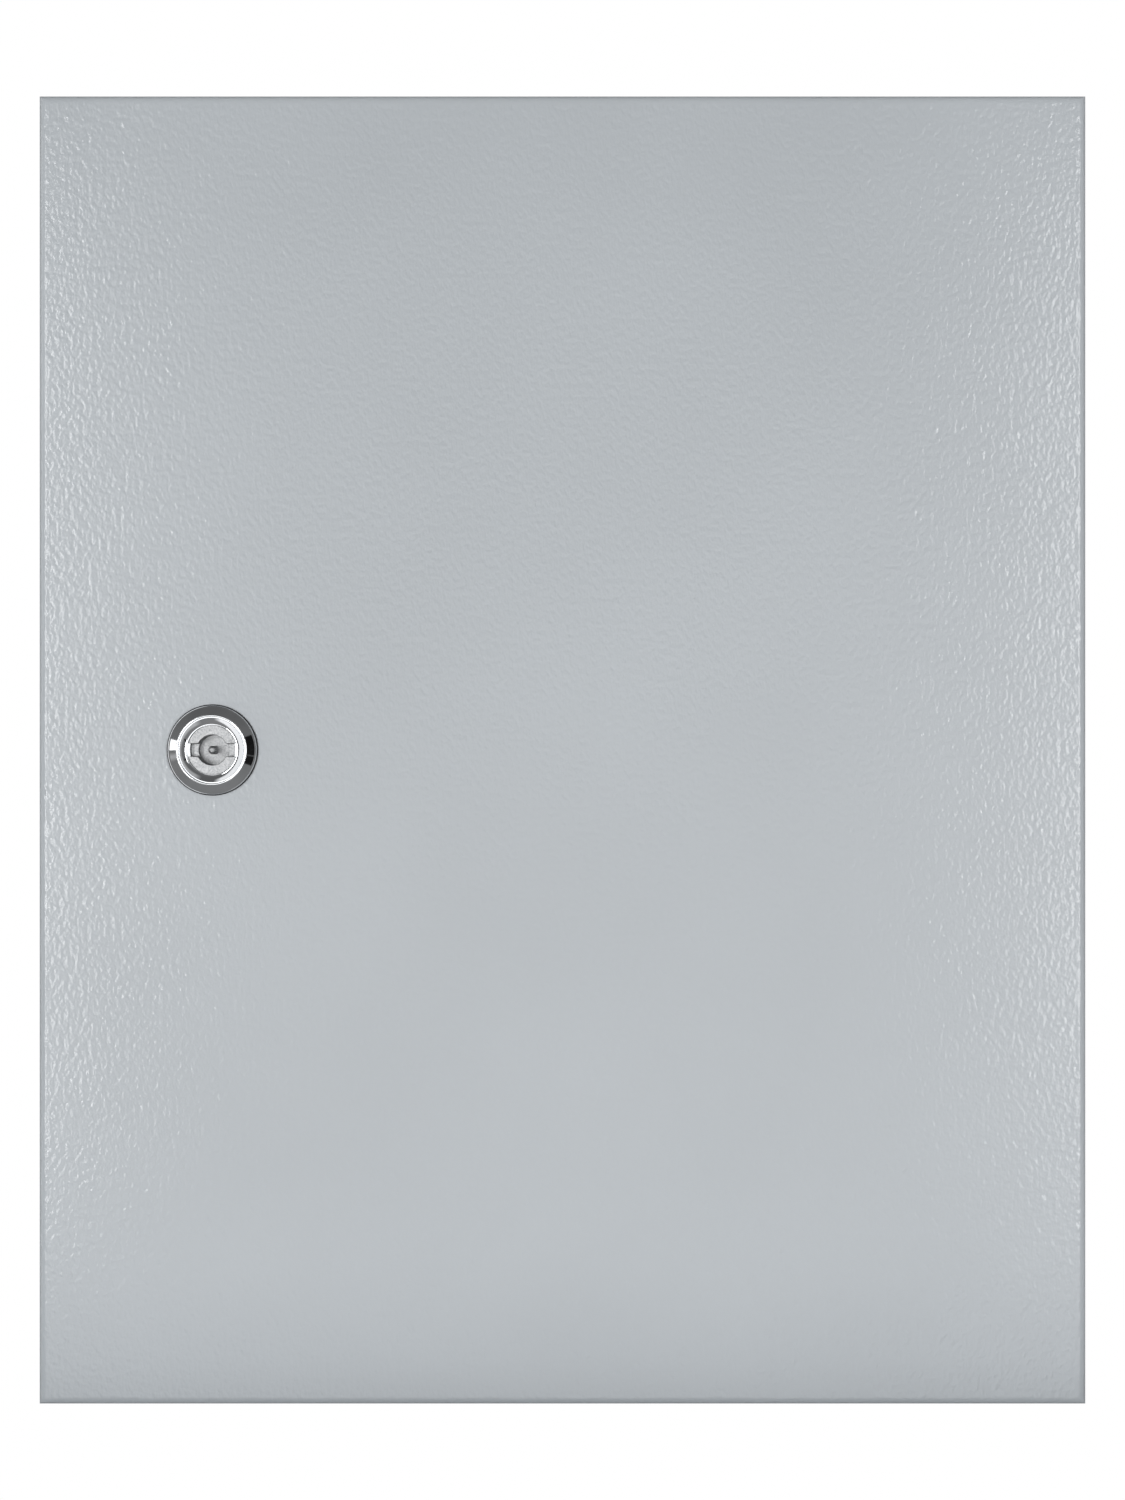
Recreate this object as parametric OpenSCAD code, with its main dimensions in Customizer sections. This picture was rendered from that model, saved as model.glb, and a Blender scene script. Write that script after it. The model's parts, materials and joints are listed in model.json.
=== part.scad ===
// Wall-mounting sheet steel enclosure: a welded case with a rain channel round its mouth, a
// hinged overlapping door with a foamed seal, a quarter-turn lock, a mounting plate and a
// cable gland plate. Millimetres. The origin is the middle of the wall fixings, in the plane of
// the wall. +Z is up, +X is the hinge side, and the door looks along -Y.

/* [Case] */
// Width of the case and of the door
case_w = 400; // [340:10:600]
// Height of the case and of the door
case_h = 500; // [400:10:800]
// Depth from the wall to the door's front face
case_d = 200; // [160:5:300]
// Thickness of the case and door sheet
sheet = 1.5; // [1.2:0.1:1.8]
// Outer radius of the sheet's bends
bend_r = 2.7; // [2.4:0.1:3]
// Radius of the case's four long corners
corner_r = 3.2; // [3.1:0.1:5]
// Depth of the flange that the back panel is welded by
back_flange = 14; // [8:1:25]

/* [Rain channel] */
// From the side of the case to the outside of the lip
lip_inset = 28; // [27:1:34]
// Corner radius of the lip, on its outside
lip_r = 10; // [9:1:16]

/* [Wall fixings] */
// Distance between the fixing holes, across
fixing_w = 350; // [200:10:350]
// Distance between the fixing holes, up and down
fixing_h = 450; // [300:10:450]
// Diameter of a fixing hole
fixing_d = 8.5; // [6.5:0.5:10]
// Height of the pressed pads that stand on the wall
pad_h = 2.5; // [1.5:0.5:4]
// Radius of a pad's flat face
pad_r = 11; // [9:1:13]

/* [Door] */
// Depth of the door's folded edge
door_depth = 20; // [18:1:24]
// Gap between the door's folded edge and the case
door_gap = 3.5; // [3:0.5:6]
// Furthest that the door opens, in degrees
door_open = 120; // [90:5:120]
// Width of the foamed seal
seal_w = 12; // [10:1:13]
// Height of the foamed seal under the lip
seal_h = 5.2; // [4:0.2:7]
// Width of a door rail
rail_w = 12; // [10:1:12]
// Height of a door rail
rail_h = 15; // [10:1:16]
// Thickness of a door rail
rail_t = 1.2; // [1:0.1:1.5]
// Length that the rails stop short of the door's top and bottom
rail_end = 58; // [50:2:90]
// Distance between the holes in a rail
rail_pitch = 25; // [20:5:50]
// Diameter of the holes in a rail
rail_hole = 4.8; // [3:0.2:6]

/* [Hinges] */
// From the top or bottom of the door to the middle of a hinge
hinge_end = 75; // [60:5:110]
// Diameter of a hinge pin
pin_d = 6; // [5:0.5:7]
// Wall of a knuckle round its pin
knuckle_wall = 2; // [1.6:0.2:2.4]
// Length of the door's knuckle
knuckle_len = 35; // [30:1:50]
// Thickness of a bracket's ears
ear_t = 4; // [3:0.5:6]
// Thickness of a bracket's base and of a door knuckle's foot
base_t = 3; // [2.5:0.5:4]

/* [Lock] */
// From the door's edge to the middle of the lock
lock_edge = 66.5; // [62:0.5:110]
// Diameter of the lock's bezel
bezel_d = 34; // [32:0.5:38]
// Height of the bezel above its seal
bezel_h = 3.1; // [2.6:0.1:4]
// Diameter of the threaded barrel
barrel_d = 22; // [21:0.5:24]
// Distance across the barrel's two flats
barrel_flat = 20; // [19:0.5:20.5]
// Length of the barrel behind the door's front face
barrel_len = 20; // [19:0.5:22]
// Diameter of the turning insert's face
insert_d = 19; // [18.4:0.2:19.6]
// Diameter of the insert's shaft in the barrel
shaft_d = 17.4; // [17:0.1:17.6]
// Diameter of the keyhole in the insert
key_d = 11.6; // [11:0.2:12.4]
// Depth of the keyhole
key_depth = 9; // [7:0.5:10]
// Width of the slot for the key's two bits
bit_w = 4.9; // [4.6:0.1:5.4]
// Depth of the slot for the key's two bits
bit_depth = 5; // [4.5:0.5:6]
// Diameter of the pin that guides the key
key_pin_d = 3; // [3:0.5:5]
// Thickness of the cam
cam_t = 3; // [2:0.5:4]
// Width of the cam
cam_w = 16; // [14:1:20]
// Length by which the cam reaches behind the case's flange
latch_reach = 10; // [6:1:14]

/* [Mounting plate] */
// Thickness of the mounting plate
plate_t = 2; // [1.5:0.5:3]
// Gap between the plate's edges and the lip, seen from the front
plate_gap = 3.5; // [2:0.5:8]
// From the plate's edges to its fixing studs
plate_edge = 12; // [11:1:20]
// Length of the spacers behind the plate
spacer_len = 12; // [8:1:30]
// Diameter of the plate's studs
stud_d = 8; // [6:1:8]

/* [Gland plate] */
// Width of the cable opening in the bottom
gland_w = 240; // [120:10:250]
// Depth of the cable opening in the bottom
gland_d = 90; // [60:5:94]
// Width of the gland plate's rim round the opening
gland_rim = 18; // [16:1:22]
// Thickness of the gland plate's gasket
gasket_t = 3; // [2:0.5:5]
// Diameter of the gland plate's studs and of the earth studs
small_stud_d = 6; // [5:1:6]

/* [Hidden] */
$fn = 48;
cut = 1; // how far a cutting shape runs past what it cuts
running_gap = 0.06; // round a pin or shaft that turns
fit_gap = 0.02; // round a pin or stud that stays put
bolt_gap = 0.5; // round a bolt or stud in a clearance hole
bend_in = bend_r - sheet; // inner radius of a bend

// Depths along Y, from the wall forwards
back_y = -pad_h;
back_in = back_y - sheet;
door_y = -case_d;
door_in = door_y + sheet;
front_y = door_y + door_depth + door_gap;
front_in = front_y + sheet;
seal_gap = 0.3;
lip_y = door_in + seal_h + seal_gap;

// The mouth, inside the lip, and the line that the seal follows
lip_w = case_w - 2 * lip_inset;
lip_h = case_h - 2 * lip_inset;
mouth_w = lip_w - 2 * sheet;
mouth_h = lip_h - 2 * sheet;
seal_line = lip_inset + sheet / 2;

// Hinge axis
pin_r = pin_d / 2;
knuckle_r = pin_r + knuckle_wall;
hinge_x = case_w / 2 - sheet - 0.5 - knuckle_r;
hinge_y = door_in + 1.5 + knuckle_r;
hinge_z = case_h / 2 - hinge_end;
ear_gap = 0.5;
bracket_h = knuckle_len + 2 * (ear_gap + ear_t);
notch_gap = 2.5;
arm_side = 0; // the arm's reach past the axis, which the opened door's edge passes
base_out = case_w / 2 - bend_r - 0.5;
base_mid = case_w / 2 - lip_inset + bend_in + 0.6;
bracket_screw_x = (base_out + base_mid) / 2 - 2;
bracket_screw_z = knuckle_len / 2 - 8;
foot_x = case_w / 2 - seal_line + seal_w / 2 + 1.75;
knuckle_stud_d = 4;
knuckle_nut_af = 7;
knuckle_nut_t = 3.2;
knuckle_stud_x = foot_x + 4;
knuckle_stud_z = knuckle_len / 2 - 7.5;

// Lock
lock_x = -case_w / 2 + lock_edge;
lock_seal_t = 0.8;
cam_gap = 1; // behind the case's flange
bezel_y = door_y - lock_seal_t;
barrel_y = door_y + barrel_len;
insert_r = insert_d / 2;
insert_y = bezel_y - 1.2;
insert_shoulder = bezel_y + 0.2;
groove_y = barrel_y - 4;
shaft_r = shaft_d / 2;
square_w = 8;
disc_t = 1.6;
disc_r = shaft_r + 0.5; // wider than the bore, so it holds the insert in
disc_y = barrel_y + 0.1;
cam_y = disc_y + disc_t;
cam_tip_y = front_in + cam_gap;
cam_len = lock_edge - lip_inset - sheet + latch_reach;
cam_washer_t = 1.2;
lock_nut_t = 5;
lock_washer_t = 1;

// Mounting plate
plate_w = mouth_w - 2 * plate_gap;
plate_h = mouth_h - 2 * plate_gap;
plate_back = back_in - spacer_len;
plate_front = plate_back - plate_t;
plate_stud_x = plate_w / 2 - plate_edge;
plate_stud_z = plate_h / 2 - plate_edge;
plate_washer_t = 1.6;
plate_nut_t = 6.5;

// Gland plate, in the middle of the bottom's clear depth
floor_z = -case_h / 2 + sheet;
gland_y = (back_in + front_in) / 2;
gland_stud_x = gland_w / 2 + gland_rim / 2;
gland_stud_y = gland_d / 2 + gland_rim / 2;

// Earth studs
small_washer_t = 1.6;
small_nut_t = 5;
earth_free = 9; // length of stud that stands clear of its nut
case_earth_x = -(gland_w / 2 + gland_rim + case_w / 2 - sheet) / 2; // midway from plate to wall
case_earth_y = front_in + 22;
door_earth_x = case_w / 2 - 90;
door_earth_z = -case_h / 2 + 60;

paint = "#c4c9cc";
zinc = "#b9bcbf";
rubber = "#3b3d40";
chrome = "#d8dadc";

// A rectangle with round corners
module round_rect(w, h, r) {
    if (r <= 0) square([w, h], center = true);
    else union() {
        square([w - 2 * r, h], center = true);
        square([w, h - 2 * r], center = true);
        for (x = [-1, 1], y = [-1, 1]) translate([x * (w / 2 - r), y * (h / 2 - r)]) circle(r);
    }
}

// A quarter of a ring, in the quadrant where x and y are positive
module quarter_ring(r, t) {
    intersection() {
        difference() {
            circle(r);
            circle(r - t);
        }
        square(r + cut);
    }
}

// Extrudes an outline drawn in X and Z from y0 to y1
module along_y(y0, y1) {
    translate([0, y1, 0]) rotate([90, 0, 0]) linear_extrude(y1 - y0) children();
}

// A cylinder along Y
module rod_y(x, z, y0, y1, r) {
    translate([x, y0, z]) rotate([-90, 0, 0]) cylinder(h = y1 - y0, r = r);
}

// Turns a profile, drawn as radius and Y, about an axis along Y
module turned_y(x, z) {
    translate([x, 0, z]) rotate([-90, 0, 0]) rotate_extrude() children();
}

// Carries a profile, drawn as outwards and Y, round a rounded rectangle in the XZ plane
module frame_sweep(w, h, r) {
    for (turn = [0, 180]) {
        rotate([0, turn, 0])
            linear_extrude(h - 2 * r, center = true) translate([w / 2, 0]) children();
        rotate([0, turn - 90, 0])
            linear_extrude(w - 2 * r, center = true) translate([h / 2, 0]) children();
    }
    for (c = [[1, -1, 0], [-1, -1, 90], [-1, 1, 180], [1, 1, 270]])
        translate([c[0] * (w / 2 - r), 0, c[1] * (h / 2 - r)]) rotate([0, c[2], 0])
            rotate([-90, 0, 0]) rotate_extrude(angle = 90) translate([r, 0]) children();
}

// A block whose four front edges are round, its front at y = 0
module pillow(w, h, d, r) {
    intersection() {
        linear_extrude(h, center = true) bent_outline(w, d, r);
        rotate([0, -90, 0]) linear_extrude(w, center = true) bent_outline(h, d, r);
    }
}

module bent_outline(w, d, r) {
    translate([-w / 2, r]) square([w, d - r]);
    translate([-w / 2 + r, 0]) square([w - 2 * r, d]);
    for (side = [-1, 1]) translate([side * (w / 2 - r), r]) circle(r);
}

// A folded sheet tray, open towards +Y
module tray(w, h, d) {
    difference() {
        pillow(w, h, d, bend_r);
        translate([0, sheet, 0]) pillow(w - 2 * sheet, h - 2 * sheet, d, bend_in);
    }
}

// A hexagon nut standing on z = 0, with both ends chamfered
module nut(af, h, bore) {
    corner = af / 2 / cos(30);
    chamfer = corner - af / 2;
    difference() {
        intersection() {
            cylinder(h = h, r = corner, $fn = 6);
            rotate_extrude() polygon([
                [0, 0], [af / 2, 0], [corner, chamfer / 2],
                [corner, h - chamfer / 2], [af / 2, h], [0, h]
            ]);
        }
        translate([0, 0, -cut]) cylinder(h = h + 2 * cut, r = bore / 2);
    }
}

// A flat ring standing on z = 0
module washer(outer, bore, t) {
    difference() {
        cylinder(h = t, r = outer / 2);
        translate([0, 0, -cut]) cylinder(h = t + 2 * cut, r = bore / 2);
    }
}

// A stud standing on z = 0, with a chamfered end
module stud(d, len) {
    lead = 0.6;
    cylinder(h = len - lead, r = d / 2);
    translate([0, 0, len - lead]) cylinder(h = lead, r1 = d / 2, r2 = d / 2 - lead);
}

// Stands a piece drawn upwards on a plane that faces +Y or -Y
module facing(x, y, z, way) {
    translate([x, y, z]) rotate([way > 0 ? -90 : 90, 0, 0]) children();
}

module at_hinge(place) {
    translate([0, 0, place * hinge_z]) children();
}

module at_plate_studs() {
    for (x = [-1, 1], z = [-1, 1]) translate([x * plate_stud_x, 0, z * plate_stud_z]) children();
}

module at_gland_studs() {
    for (x = [-1, 0, 1], y = [-1, 1])
        translate([x * gland_stud_x, gland_y + y * gland_stud_y, floor_z]) children();
}

// ---- Case ----

// Side wall and front bend of the case, drawn inwards from its outer face
module wall_profile() {
    translate([-sheet, front_y + bend_r]) square([sheet, back_y - front_y - bend_r]);
    translate([-bend_r, front_y + bend_r]) rotate(-90) quarter_ring(bend_r, sheet);
}

// The lip and its bend, drawn outwards from the lip's outer face
module lip_profile() {
    translate([-sheet, lip_y]) square([sheet, front_y - bend_in - lip_y]);
    translate([bend_in, front_y - bend_in]) rotate(90) quarter_ring(bend_r, sheet);
}

module case_wrap() {
    color(paint) difference() {
        union() {
            frame_sweep(case_w, case_h, corner_r) wall_profile();
            along_y(front_y, front_in) difference() {
                round_rect(case_w - 2 * bend_r, case_h - 2 * bend_r, corner_r - bend_r);
                round_rect(lip_w + 2 * bend_in, lip_h + 2 * bend_in, lip_r + bend_in);
            }
            frame_sweep(lip_w, lip_h, lip_r) lip_profile();
        }
        translate([0, gland_y, floor_z - sheet - cut])
            linear_extrude(sheet + 2 * cut) round_rect(gland_w, gland_d, 5);
        for (place = [-1, 1]) at_hinge(place) for (z = [-1, 1])
            rod_y(bracket_screw_x, z * bracket_screw_z, front_y - cut, front_in + cut,
                  (5 + bolt_gap) / 2);
    }
}

// The tray that closes the back, with a pressed pad at each wall fixing
module back_panel() {
    slope = pad_h;
    step = sheet * 0.4;
    color(paint) difference() {
        union() {
            intersection() {
                translate([0, back_y, 0]) mirror([0, 1, 0])
                    tray(case_w - 2 * sheet, case_h - 2 * sheet, back_flange);
                along_y(back_y - back_flange - cut, back_y + cut)
                    round_rect(case_w - 2 * sheet, case_h - 2 * sheet, corner_r - sheet + 0.1);
            }
            at_fixings() turned_y(0, 0) polygon([
                [0, back_in], [pad_r + slope, back_in], [pad_r + slope, back_y], [pad_r, 0], [0, 0]
            ]);
        }
        at_fixings() turned_y(0, 0) polygon([
            [0, back_in - cut], [pad_r + slope - step, back_in - cut],
            [pad_r + slope - step, back_in], [pad_r - step, -sheet], [0, -sheet]
        ]);
        at_fixings() rod_y(0, 0, -sheet - cut, cut, fixing_d / 2);
    }
}

module at_fixings() {
    for (x = [-1, 1], z = [-1, 1]) translate([x * fixing_w / 2, 0, z * fixing_h / 2]) children();
}

// ---- Hinges ----

// An ear seen along Z: the knuckle and the arm that carries it back to the base
module ear_outline() {
    translate([hinge_x, hinge_y]) circle(knuckle_r);
    polygon([
        [hinge_x - knuckle_r, hinge_y], [hinge_x + arm_side, hinge_y],
        [hinge_x + arm_side, front_y], [base_mid + 5, front_y]
    ]);
}

module hinge_bracket(place) {
    color(zinc) at_hinge(place) difference() {
        union() {
            along_y(front_y - base_t, front_y) translate([(base_out + base_mid) / 2, 0])
                round_rect(base_out - base_mid, bracket_h, 2);
            for (side = [-1, 1])
                translate([0, 0, side * (knuckle_len / 2 + ear_gap + ear_t / 2)])
                    linear_extrude(ear_t, center = true) ear_outline();
        }
        translate([hinge_x, hinge_y, 0])
            cylinder(h = bracket_h + 2 * cut, r = pin_r + fit_gap, center = true);
        for (z = [-1, 1]) rod_y(bracket_screw_x, z * bracket_screw_z,
                                front_y - base_t - cut, front_y + cut, (5 + bolt_gap) / 2);
    }
}

// Pan-head screws that hold a bracket to the case's flange
module hinge_screws(place) {
    head_t = 2.6;
    head_y = front_y - base_t;
    color(zinc) at_hinge(place) for (z = [-1, 1]) translate([0, 0, z * bracket_screw_z])
        difference() {
            union() {
                facing(bracket_screw_x, head_y - head_t, 0, 1)
                    rotate_extrude() polygon([
                        [0, 0], [2.8, 0], [4.2, 0.9], [4.6, head_t], [0, head_t]
                    ]);
                rod_y(bracket_screw_x, 0, head_y - 0.1, front_in + 6, 2.5);
            }
            rod_y(bracket_screw_x, 0, head_y - head_t - cut, head_y - head_t + 1.4, 1.5);
        }
}

module hinge_nuts(place) {
    color(zinc) at_hinge(place) for (z = [-1, 1])
        facing(bracket_screw_x, front_in, z * bracket_screw_z, 1) nut(8, 4, 5 + 2 * fit_gap);
}

module hinge_pin(place) {
    head_t = 2;
    color(zinc) at_hinge(place) translate([hinge_x, hinge_y, 0]) {
        translate([0, 0, -bracket_h / 2 - 1]) cylinder(h = bracket_h + 1 + head_t, r = pin_r);
        translate([0, 0, -bracket_h / 2 - 2]) cylinder(h = 1, r1 = pin_r - 1, r2 = pin_r);
        translate([0, 0, bracket_h / 2]) cylinder(h = head_t, r = pin_r + 1.5);
    }
}

// ---- Mounting plate ----

module mounting_plate() {
    color(zinc) difference() {
        along_y(plate_front, plate_back) round_rect(plate_w, plate_h, 4);
        at_plate_studs() rod_y(0, 0, plate_front - cut, plate_back + cut, stud_d / 2 + bolt_gap);
    }
}

module plate_studs() {
    len = spacer_len + plate_t + plate_washer_t + plate_nut_t + 4;
    color(zinc) at_plate_studs() facing(0, back_in, 0, -1) stud(stud_d, len);
}

module plate_spacers() {
    color(zinc) at_plate_studs() facing(0, back_in, 0, -1)
        washer(stud_d * 2, stud_d + bolt_gap, spacer_len);
}

module plate_washers() {
    color(zinc) at_plate_studs() facing(0, plate_front, 0, -1)
        washer(stud_d * 2, stud_d + bolt_gap, plate_washer_t);
}

module plate_nuts() {
    color(zinc) at_plate_studs() facing(0, plate_front - plate_washer_t, 0, -1)
        nut(stud_d + 5, plate_nut_t, stud_d + 2 * fit_gap);
}

// ---- Gland plate ----

module gland_outline() {
    round_rect(gland_w + 2 * gland_rim, gland_d + 2 * gland_rim, 4);
}

module gland_plate() {
    color(paint) difference() {
        translate([0, gland_y, floor_z + gasket_t]) linear_extrude(sheet) gland_outline();
        at_gland_studs() translate([0, 0, gasket_t - cut])
            cylinder(h = sheet + 2 * cut, r = (small_stud_d + bolt_gap) / 2);
    }
}

module gland_gasket() {
    color(rubber) difference() {
        translate([0, gland_y, floor_z]) linear_extrude(gasket_t) difference() {
            gland_outline();
            round_rect(gland_w + 4, gland_d + 4, 5);
        }
        at_gland_studs() translate([0, 0, -cut])
            cylinder(h = gasket_t + 2 * cut, r = (small_stud_d + bolt_gap) / 2);
    }
}

module gland_studs() {
    color(zinc) at_gland_studs() stud(small_stud_d, gasket_t + sheet + small_nut_t + 4);
}

// Flange nuts
module gland_nuts() {
    color(zinc) at_gland_studs() translate([0, 0, gasket_t + sheet]) {
        washer(small_stud_d + 7, small_stud_d + 2 * fit_gap, 1.2);
        translate([0, 0, 1]) nut(small_stud_d + 4, small_nut_t - 1, small_stud_d + 2 * fit_gap);
    }
}

// ---- Earth studs ----

module earth_stud() {
    stud(small_stud_d, 2 * small_washer_t + small_nut_t + earth_free);
}

module earth_washers() {
    for (n = [0, 1]) translate([0, 0, n * small_washer_t])
        washer(small_stud_d * 2, small_stud_d + bolt_gap, small_washer_t);
}

module earth_nut() {
    translate([0, 0, 2 * small_washer_t]) nut(small_stud_d + 4, small_nut_t, small_stud_d + 2 * fit_gap);
}

module on_case_floor() {
    translate([case_earth_x, case_earth_y, floor_z]) children();
}

module on_door() {
    facing(door_earth_x, door_in, door_earth_z, 1) children();
}

// ---- Door ----

module door_panel() {
    notch_h = bracket_h + 2 * notch_gap;
    color(paint) difference() {
        translate([0, door_y, 0]) tray(case_w, case_h, door_depth);
        for (place = [-1, 1]) at_hinge(place)
            translate([case_w / 2 - sheet - cut / 2, door_y + bend_r, -notch_h / 2])
                cube([sheet + cut, door_depth, notch_h]);
        along_y(door_y - cut, door_in + cut) translate([lock_x, 0])
            barrel_outline(barrel_d + bolt_gap, barrel_flat + bolt_gap);
    }
}

// The seal: a flat foot with a crown that the lip presses on
module door_seal() {
    crown = seal_w * 0.66;
    color(rubber) frame_sweep(case_w - 2 * seal_line, case_h - 2 * seal_line, lip_r - sheet / 2)
        polygon([
            [-seal_w / 2, door_in], [seal_w / 2, door_in], [seal_w / 2, door_in + 1.2],
            [crown / 2, door_in + seal_h], [-crown / 2, door_in + seal_h],
            [-seal_w / 2, door_in + 1.2]
        ]);
}

// A perforated U rail, welded to the door by its two legs
module door_rail(side) {
    x = side * (case_w / 2 - seal_line - seal_w / 2 - 2.2 - rail_w / 2);
    top_y = door_in + rail_h;
    len = case_h - 2 * rail_end;
    steps = floor((len / 2 - 8) / rail_pitch);
    color(paint) difference() {
        translate([x, top_y, 0]) mirror([0, 1, 0]) linear_extrude(len, center = true)
            difference() {
                bent_outline(rail_w, rail_h, 2);
                translate([0, rail_t]) bent_outline(rail_w - 2 * rail_t, rail_h, 2 - rail_t);
            }
        for (n = [-steps : steps])
            rod_y(x, n * rail_pitch, top_y - rail_t - cut, top_y + cut, rail_hole / 2);
    }
}

// The door's half of a hinge: a knuckle on a foot that stands on the door's inside
module door_knuckle(place) {
    color(zinc) at_hinge(place) difference() {
        union() {
            translate([hinge_x, hinge_y, 0])
                cylinder(h = knuckle_len, r = knuckle_r, center = true);
            translate([foot_x, door_in, -knuckle_len / 2])
                cube([case_w / 2 - bend_r - 0.3 - foot_x, base_t + 0.5, knuckle_len]);
        }
        translate([hinge_x, hinge_y, 0])
            cylinder(h = knuckle_len + 2 * cut, r = pin_r + running_gap, center = true);
        for (z = [-1, 1]) rod_y(knuckle_stud_x, z * knuckle_stud_z,
                                door_in - cut, door_in + base_t + cut, (knuckle_stud_d + 0.3) / 2);
    }
}

module at_knuckle_studs() {
    for (place = [-1, 1], z = [-1, 1])
        facing(knuckle_stud_x, door_in, place * hinge_z + z * knuckle_stud_z, 1) children();
}

module knuckle_studs() {
    color(zinc) at_knuckle_studs() stud(knuckle_stud_d, base_t + 5.5);
}

module knuckle_nuts() {
    color(zinc) at_knuckle_studs() translate([0, 0, base_t + 0.5]) rotate(30)
        nut(knuckle_nut_af, knuckle_nut_t, knuckle_stud_d + 2 * fit_gap);
}

// ---- Lock ----

// The barrel's section: a circle with a flat on each side
module barrel_outline(d, flat) {
    intersection() {
        circle(d / 2);
        square([flat, d + cut], center = true);
    }
}

module lock_seal() {
    color(rubber) facing(lock_x, door_y, 0, -1)
        washer(bezel_d + 0.8, barrel_d + bolt_gap, lock_seal_t);
}

// Bezel and barrel in one casting, bored for the insert, with two lugs that stop the disc
module lock_housing() {
    bezel_r = bezel_d / 2;
    land_r = bezel_r - 4;
    top_y = bezel_y - bezel_h;
    recess_r = insert_r + 0.1;
    bore_r = shaft_r + running_gap;
    color(chrome) difference() {
        union() {
            turned_y(lock_x, 0) polygon([
                [recess_r, bezel_y], [recess_r, insert_y - 0.1], [recess_r + 0.7, insert_y - 0.4],
                [land_r - 1.2, top_y + 0.5], [land_r - 0.7, top_y + 0.5], [land_r - 0.4, top_y],
                [land_r + 0.3, top_y], [bezel_r - 0.5, bezel_y - 1.3], [bezel_r, bezel_y - 0.9],
                [bezel_r, bezel_y]
            ]);
            difference() {
                along_y(bezel_y - 0.1, barrel_y) translate([lock_x, 0])
                    barrel_outline(barrel_d, barrel_flat);
                rod_y(lock_x, 0, bezel_y - cut, insert_shoulder, recess_r);
                rod_y(lock_x, 0, insert_shoulder - cut, barrel_y + cut, bore_r);
            }
            stop_lugs();
        }
    }
}

module stop_lugs() {
    lug = 3.6;
    side_gap = 0.3;
    along_y(barrel_y - 0.5, disc_y + disc_t - 0.2) translate([lock_x, 0]) intersection() {
        difference() {
            barrel_outline(barrel_d, barrel_flat);
            circle(disc_r + 0.3);
        }
        union() {
            translate([-tab_w / 2 - side_gap - lug, 0]) square([lug, barrel_d]);
            translate([0, -tab_w / 2 - side_gap - lug]) square([barrel_d, lug]);
        }
    }
}

tab_w = 5;

module lock_washer() {
    color(zinc) facing(lock_x, door_in, 0, 1) washer(barrel_d + 7, barrel_d + bolt_gap, lock_washer_t);
}

module lock_nut() {
    color(zinc) facing(lock_x, door_in + lock_washer_t, 0, 1)
        nut(barrel_d + 5, lock_nut_t, barrel_d + 0.2);
}

// The turning insert: keyhole, bit slot and guide pin in front, and a square behind for the cam
module lock_insert() {
    head_back = insert_shoulder - 0.1;
    square_end = cam_y + cam_t - 0.3;
    color(chrome) {
        difference() {
            union() {
                rod_y(lock_x, 0, insert_y, head_back, insert_r);
                rod_y(lock_x, 0, head_back - 0.1, barrel_y, shaft_r);
                along_y(barrel_y - 0.1, square_end) translate([lock_x, 0])
                    square(square_w, center = true);
            }
            rod_y(lock_x, 0, insert_y - cut, insert_y + key_depth, key_d / 2);
            along_y(insert_y - cut, insert_y + bit_depth) translate([lock_x, 0])
                square([insert_d + cut, bit_w], center = true);
            turned_y(lock_x, 0) translate([shaft_r - 1.4, groove_y]) square([1.4 + cut, 1.5]);
            rod_y(lock_x, 0, insert_y + key_depth + 3, square_end + cut, 3);
        }
        rod_y(lock_x, 0, insert_y + 0.6, insert_y + key_depth + 0.1, key_pin_d / 2);
        facing(lock_x, insert_y + 0.6, 0, -1)
            cylinder(h = 0.6, r1 = key_pin_d / 2, r2 = key_pin_d / 2 - 0.6);
    }
}

module lock_o_ring() {
    color(rubber) turned_y(lock_x, 0) translate([shaft_r - 0.68, groove_y + 0.75]) circle(0.67);
}

// Keyed on the insert's square: its tab runs between the housing's lugs
module lock_stop_disc() {
    color(zinc) along_y(disc_y, disc_y + disc_t) translate([lock_x, 0]) difference() {
        union() {
            circle(disc_r);
            translate([-tab_w / 2, 0]) square([tab_w, barrel_d / 2 - 0.2]);
        }
        square(square_w + 2 * running_gap, center = true);
    }
}

// The cranked cam, hanging down when the lock is open
module lock_cam() {
    hub_r = cam_w / 2 + 1;
    crank_0 = lock_edge - lip_inset - sheet - 15;
    crank_1 = crank_0 + 7;
    color(zinc) translate([lock_x, 0, 0]) difference() {
        intersection() {
            rotate([0, -90, 0]) linear_extrude(2 * hub_r, center = true) polygon([
                [hub_r, cam_y], [-crank_0, cam_y], [-crank_1, cam_tip_y], [-cam_len, cam_tip_y],
                [-cam_len, cam_tip_y + cam_t], [-crank_1, cam_tip_y + cam_t],
                [-crank_0, cam_y + cam_t], [hub_r, cam_y + cam_t]
            ]);
            along_y(cam_y - cut, cam_tip_y + cam_t + cut) {
                circle(hub_r);
                translate([-cam_w / 2, -cam_len + cam_w / 2]) square([cam_w, cam_len - cam_w / 2]);
                translate([0, -cam_len + cam_w / 2]) circle(cam_w / 2);
            }
        }
        along_y(cam_y - cut, cam_y + cam_t + cut) square(square_w + 2 * running_gap, center = true);
    }
}

module cam_washer() {
    color(zinc) facing(lock_x, cam_y + cam_t, 0, 1) washer(14, 6 + bolt_gap, cam_washer_t);
}

module cam_screw() {
    head_y = cam_y + cam_t + cam_washer_t;
    color(zinc) {
        facing(lock_x, head_y, 0, 1) nut(10, 4, 0.01);
        rod_y(lock_x, 0, insert_y + key_depth + 4, head_y + 2, 2.9);
    }
}

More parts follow.
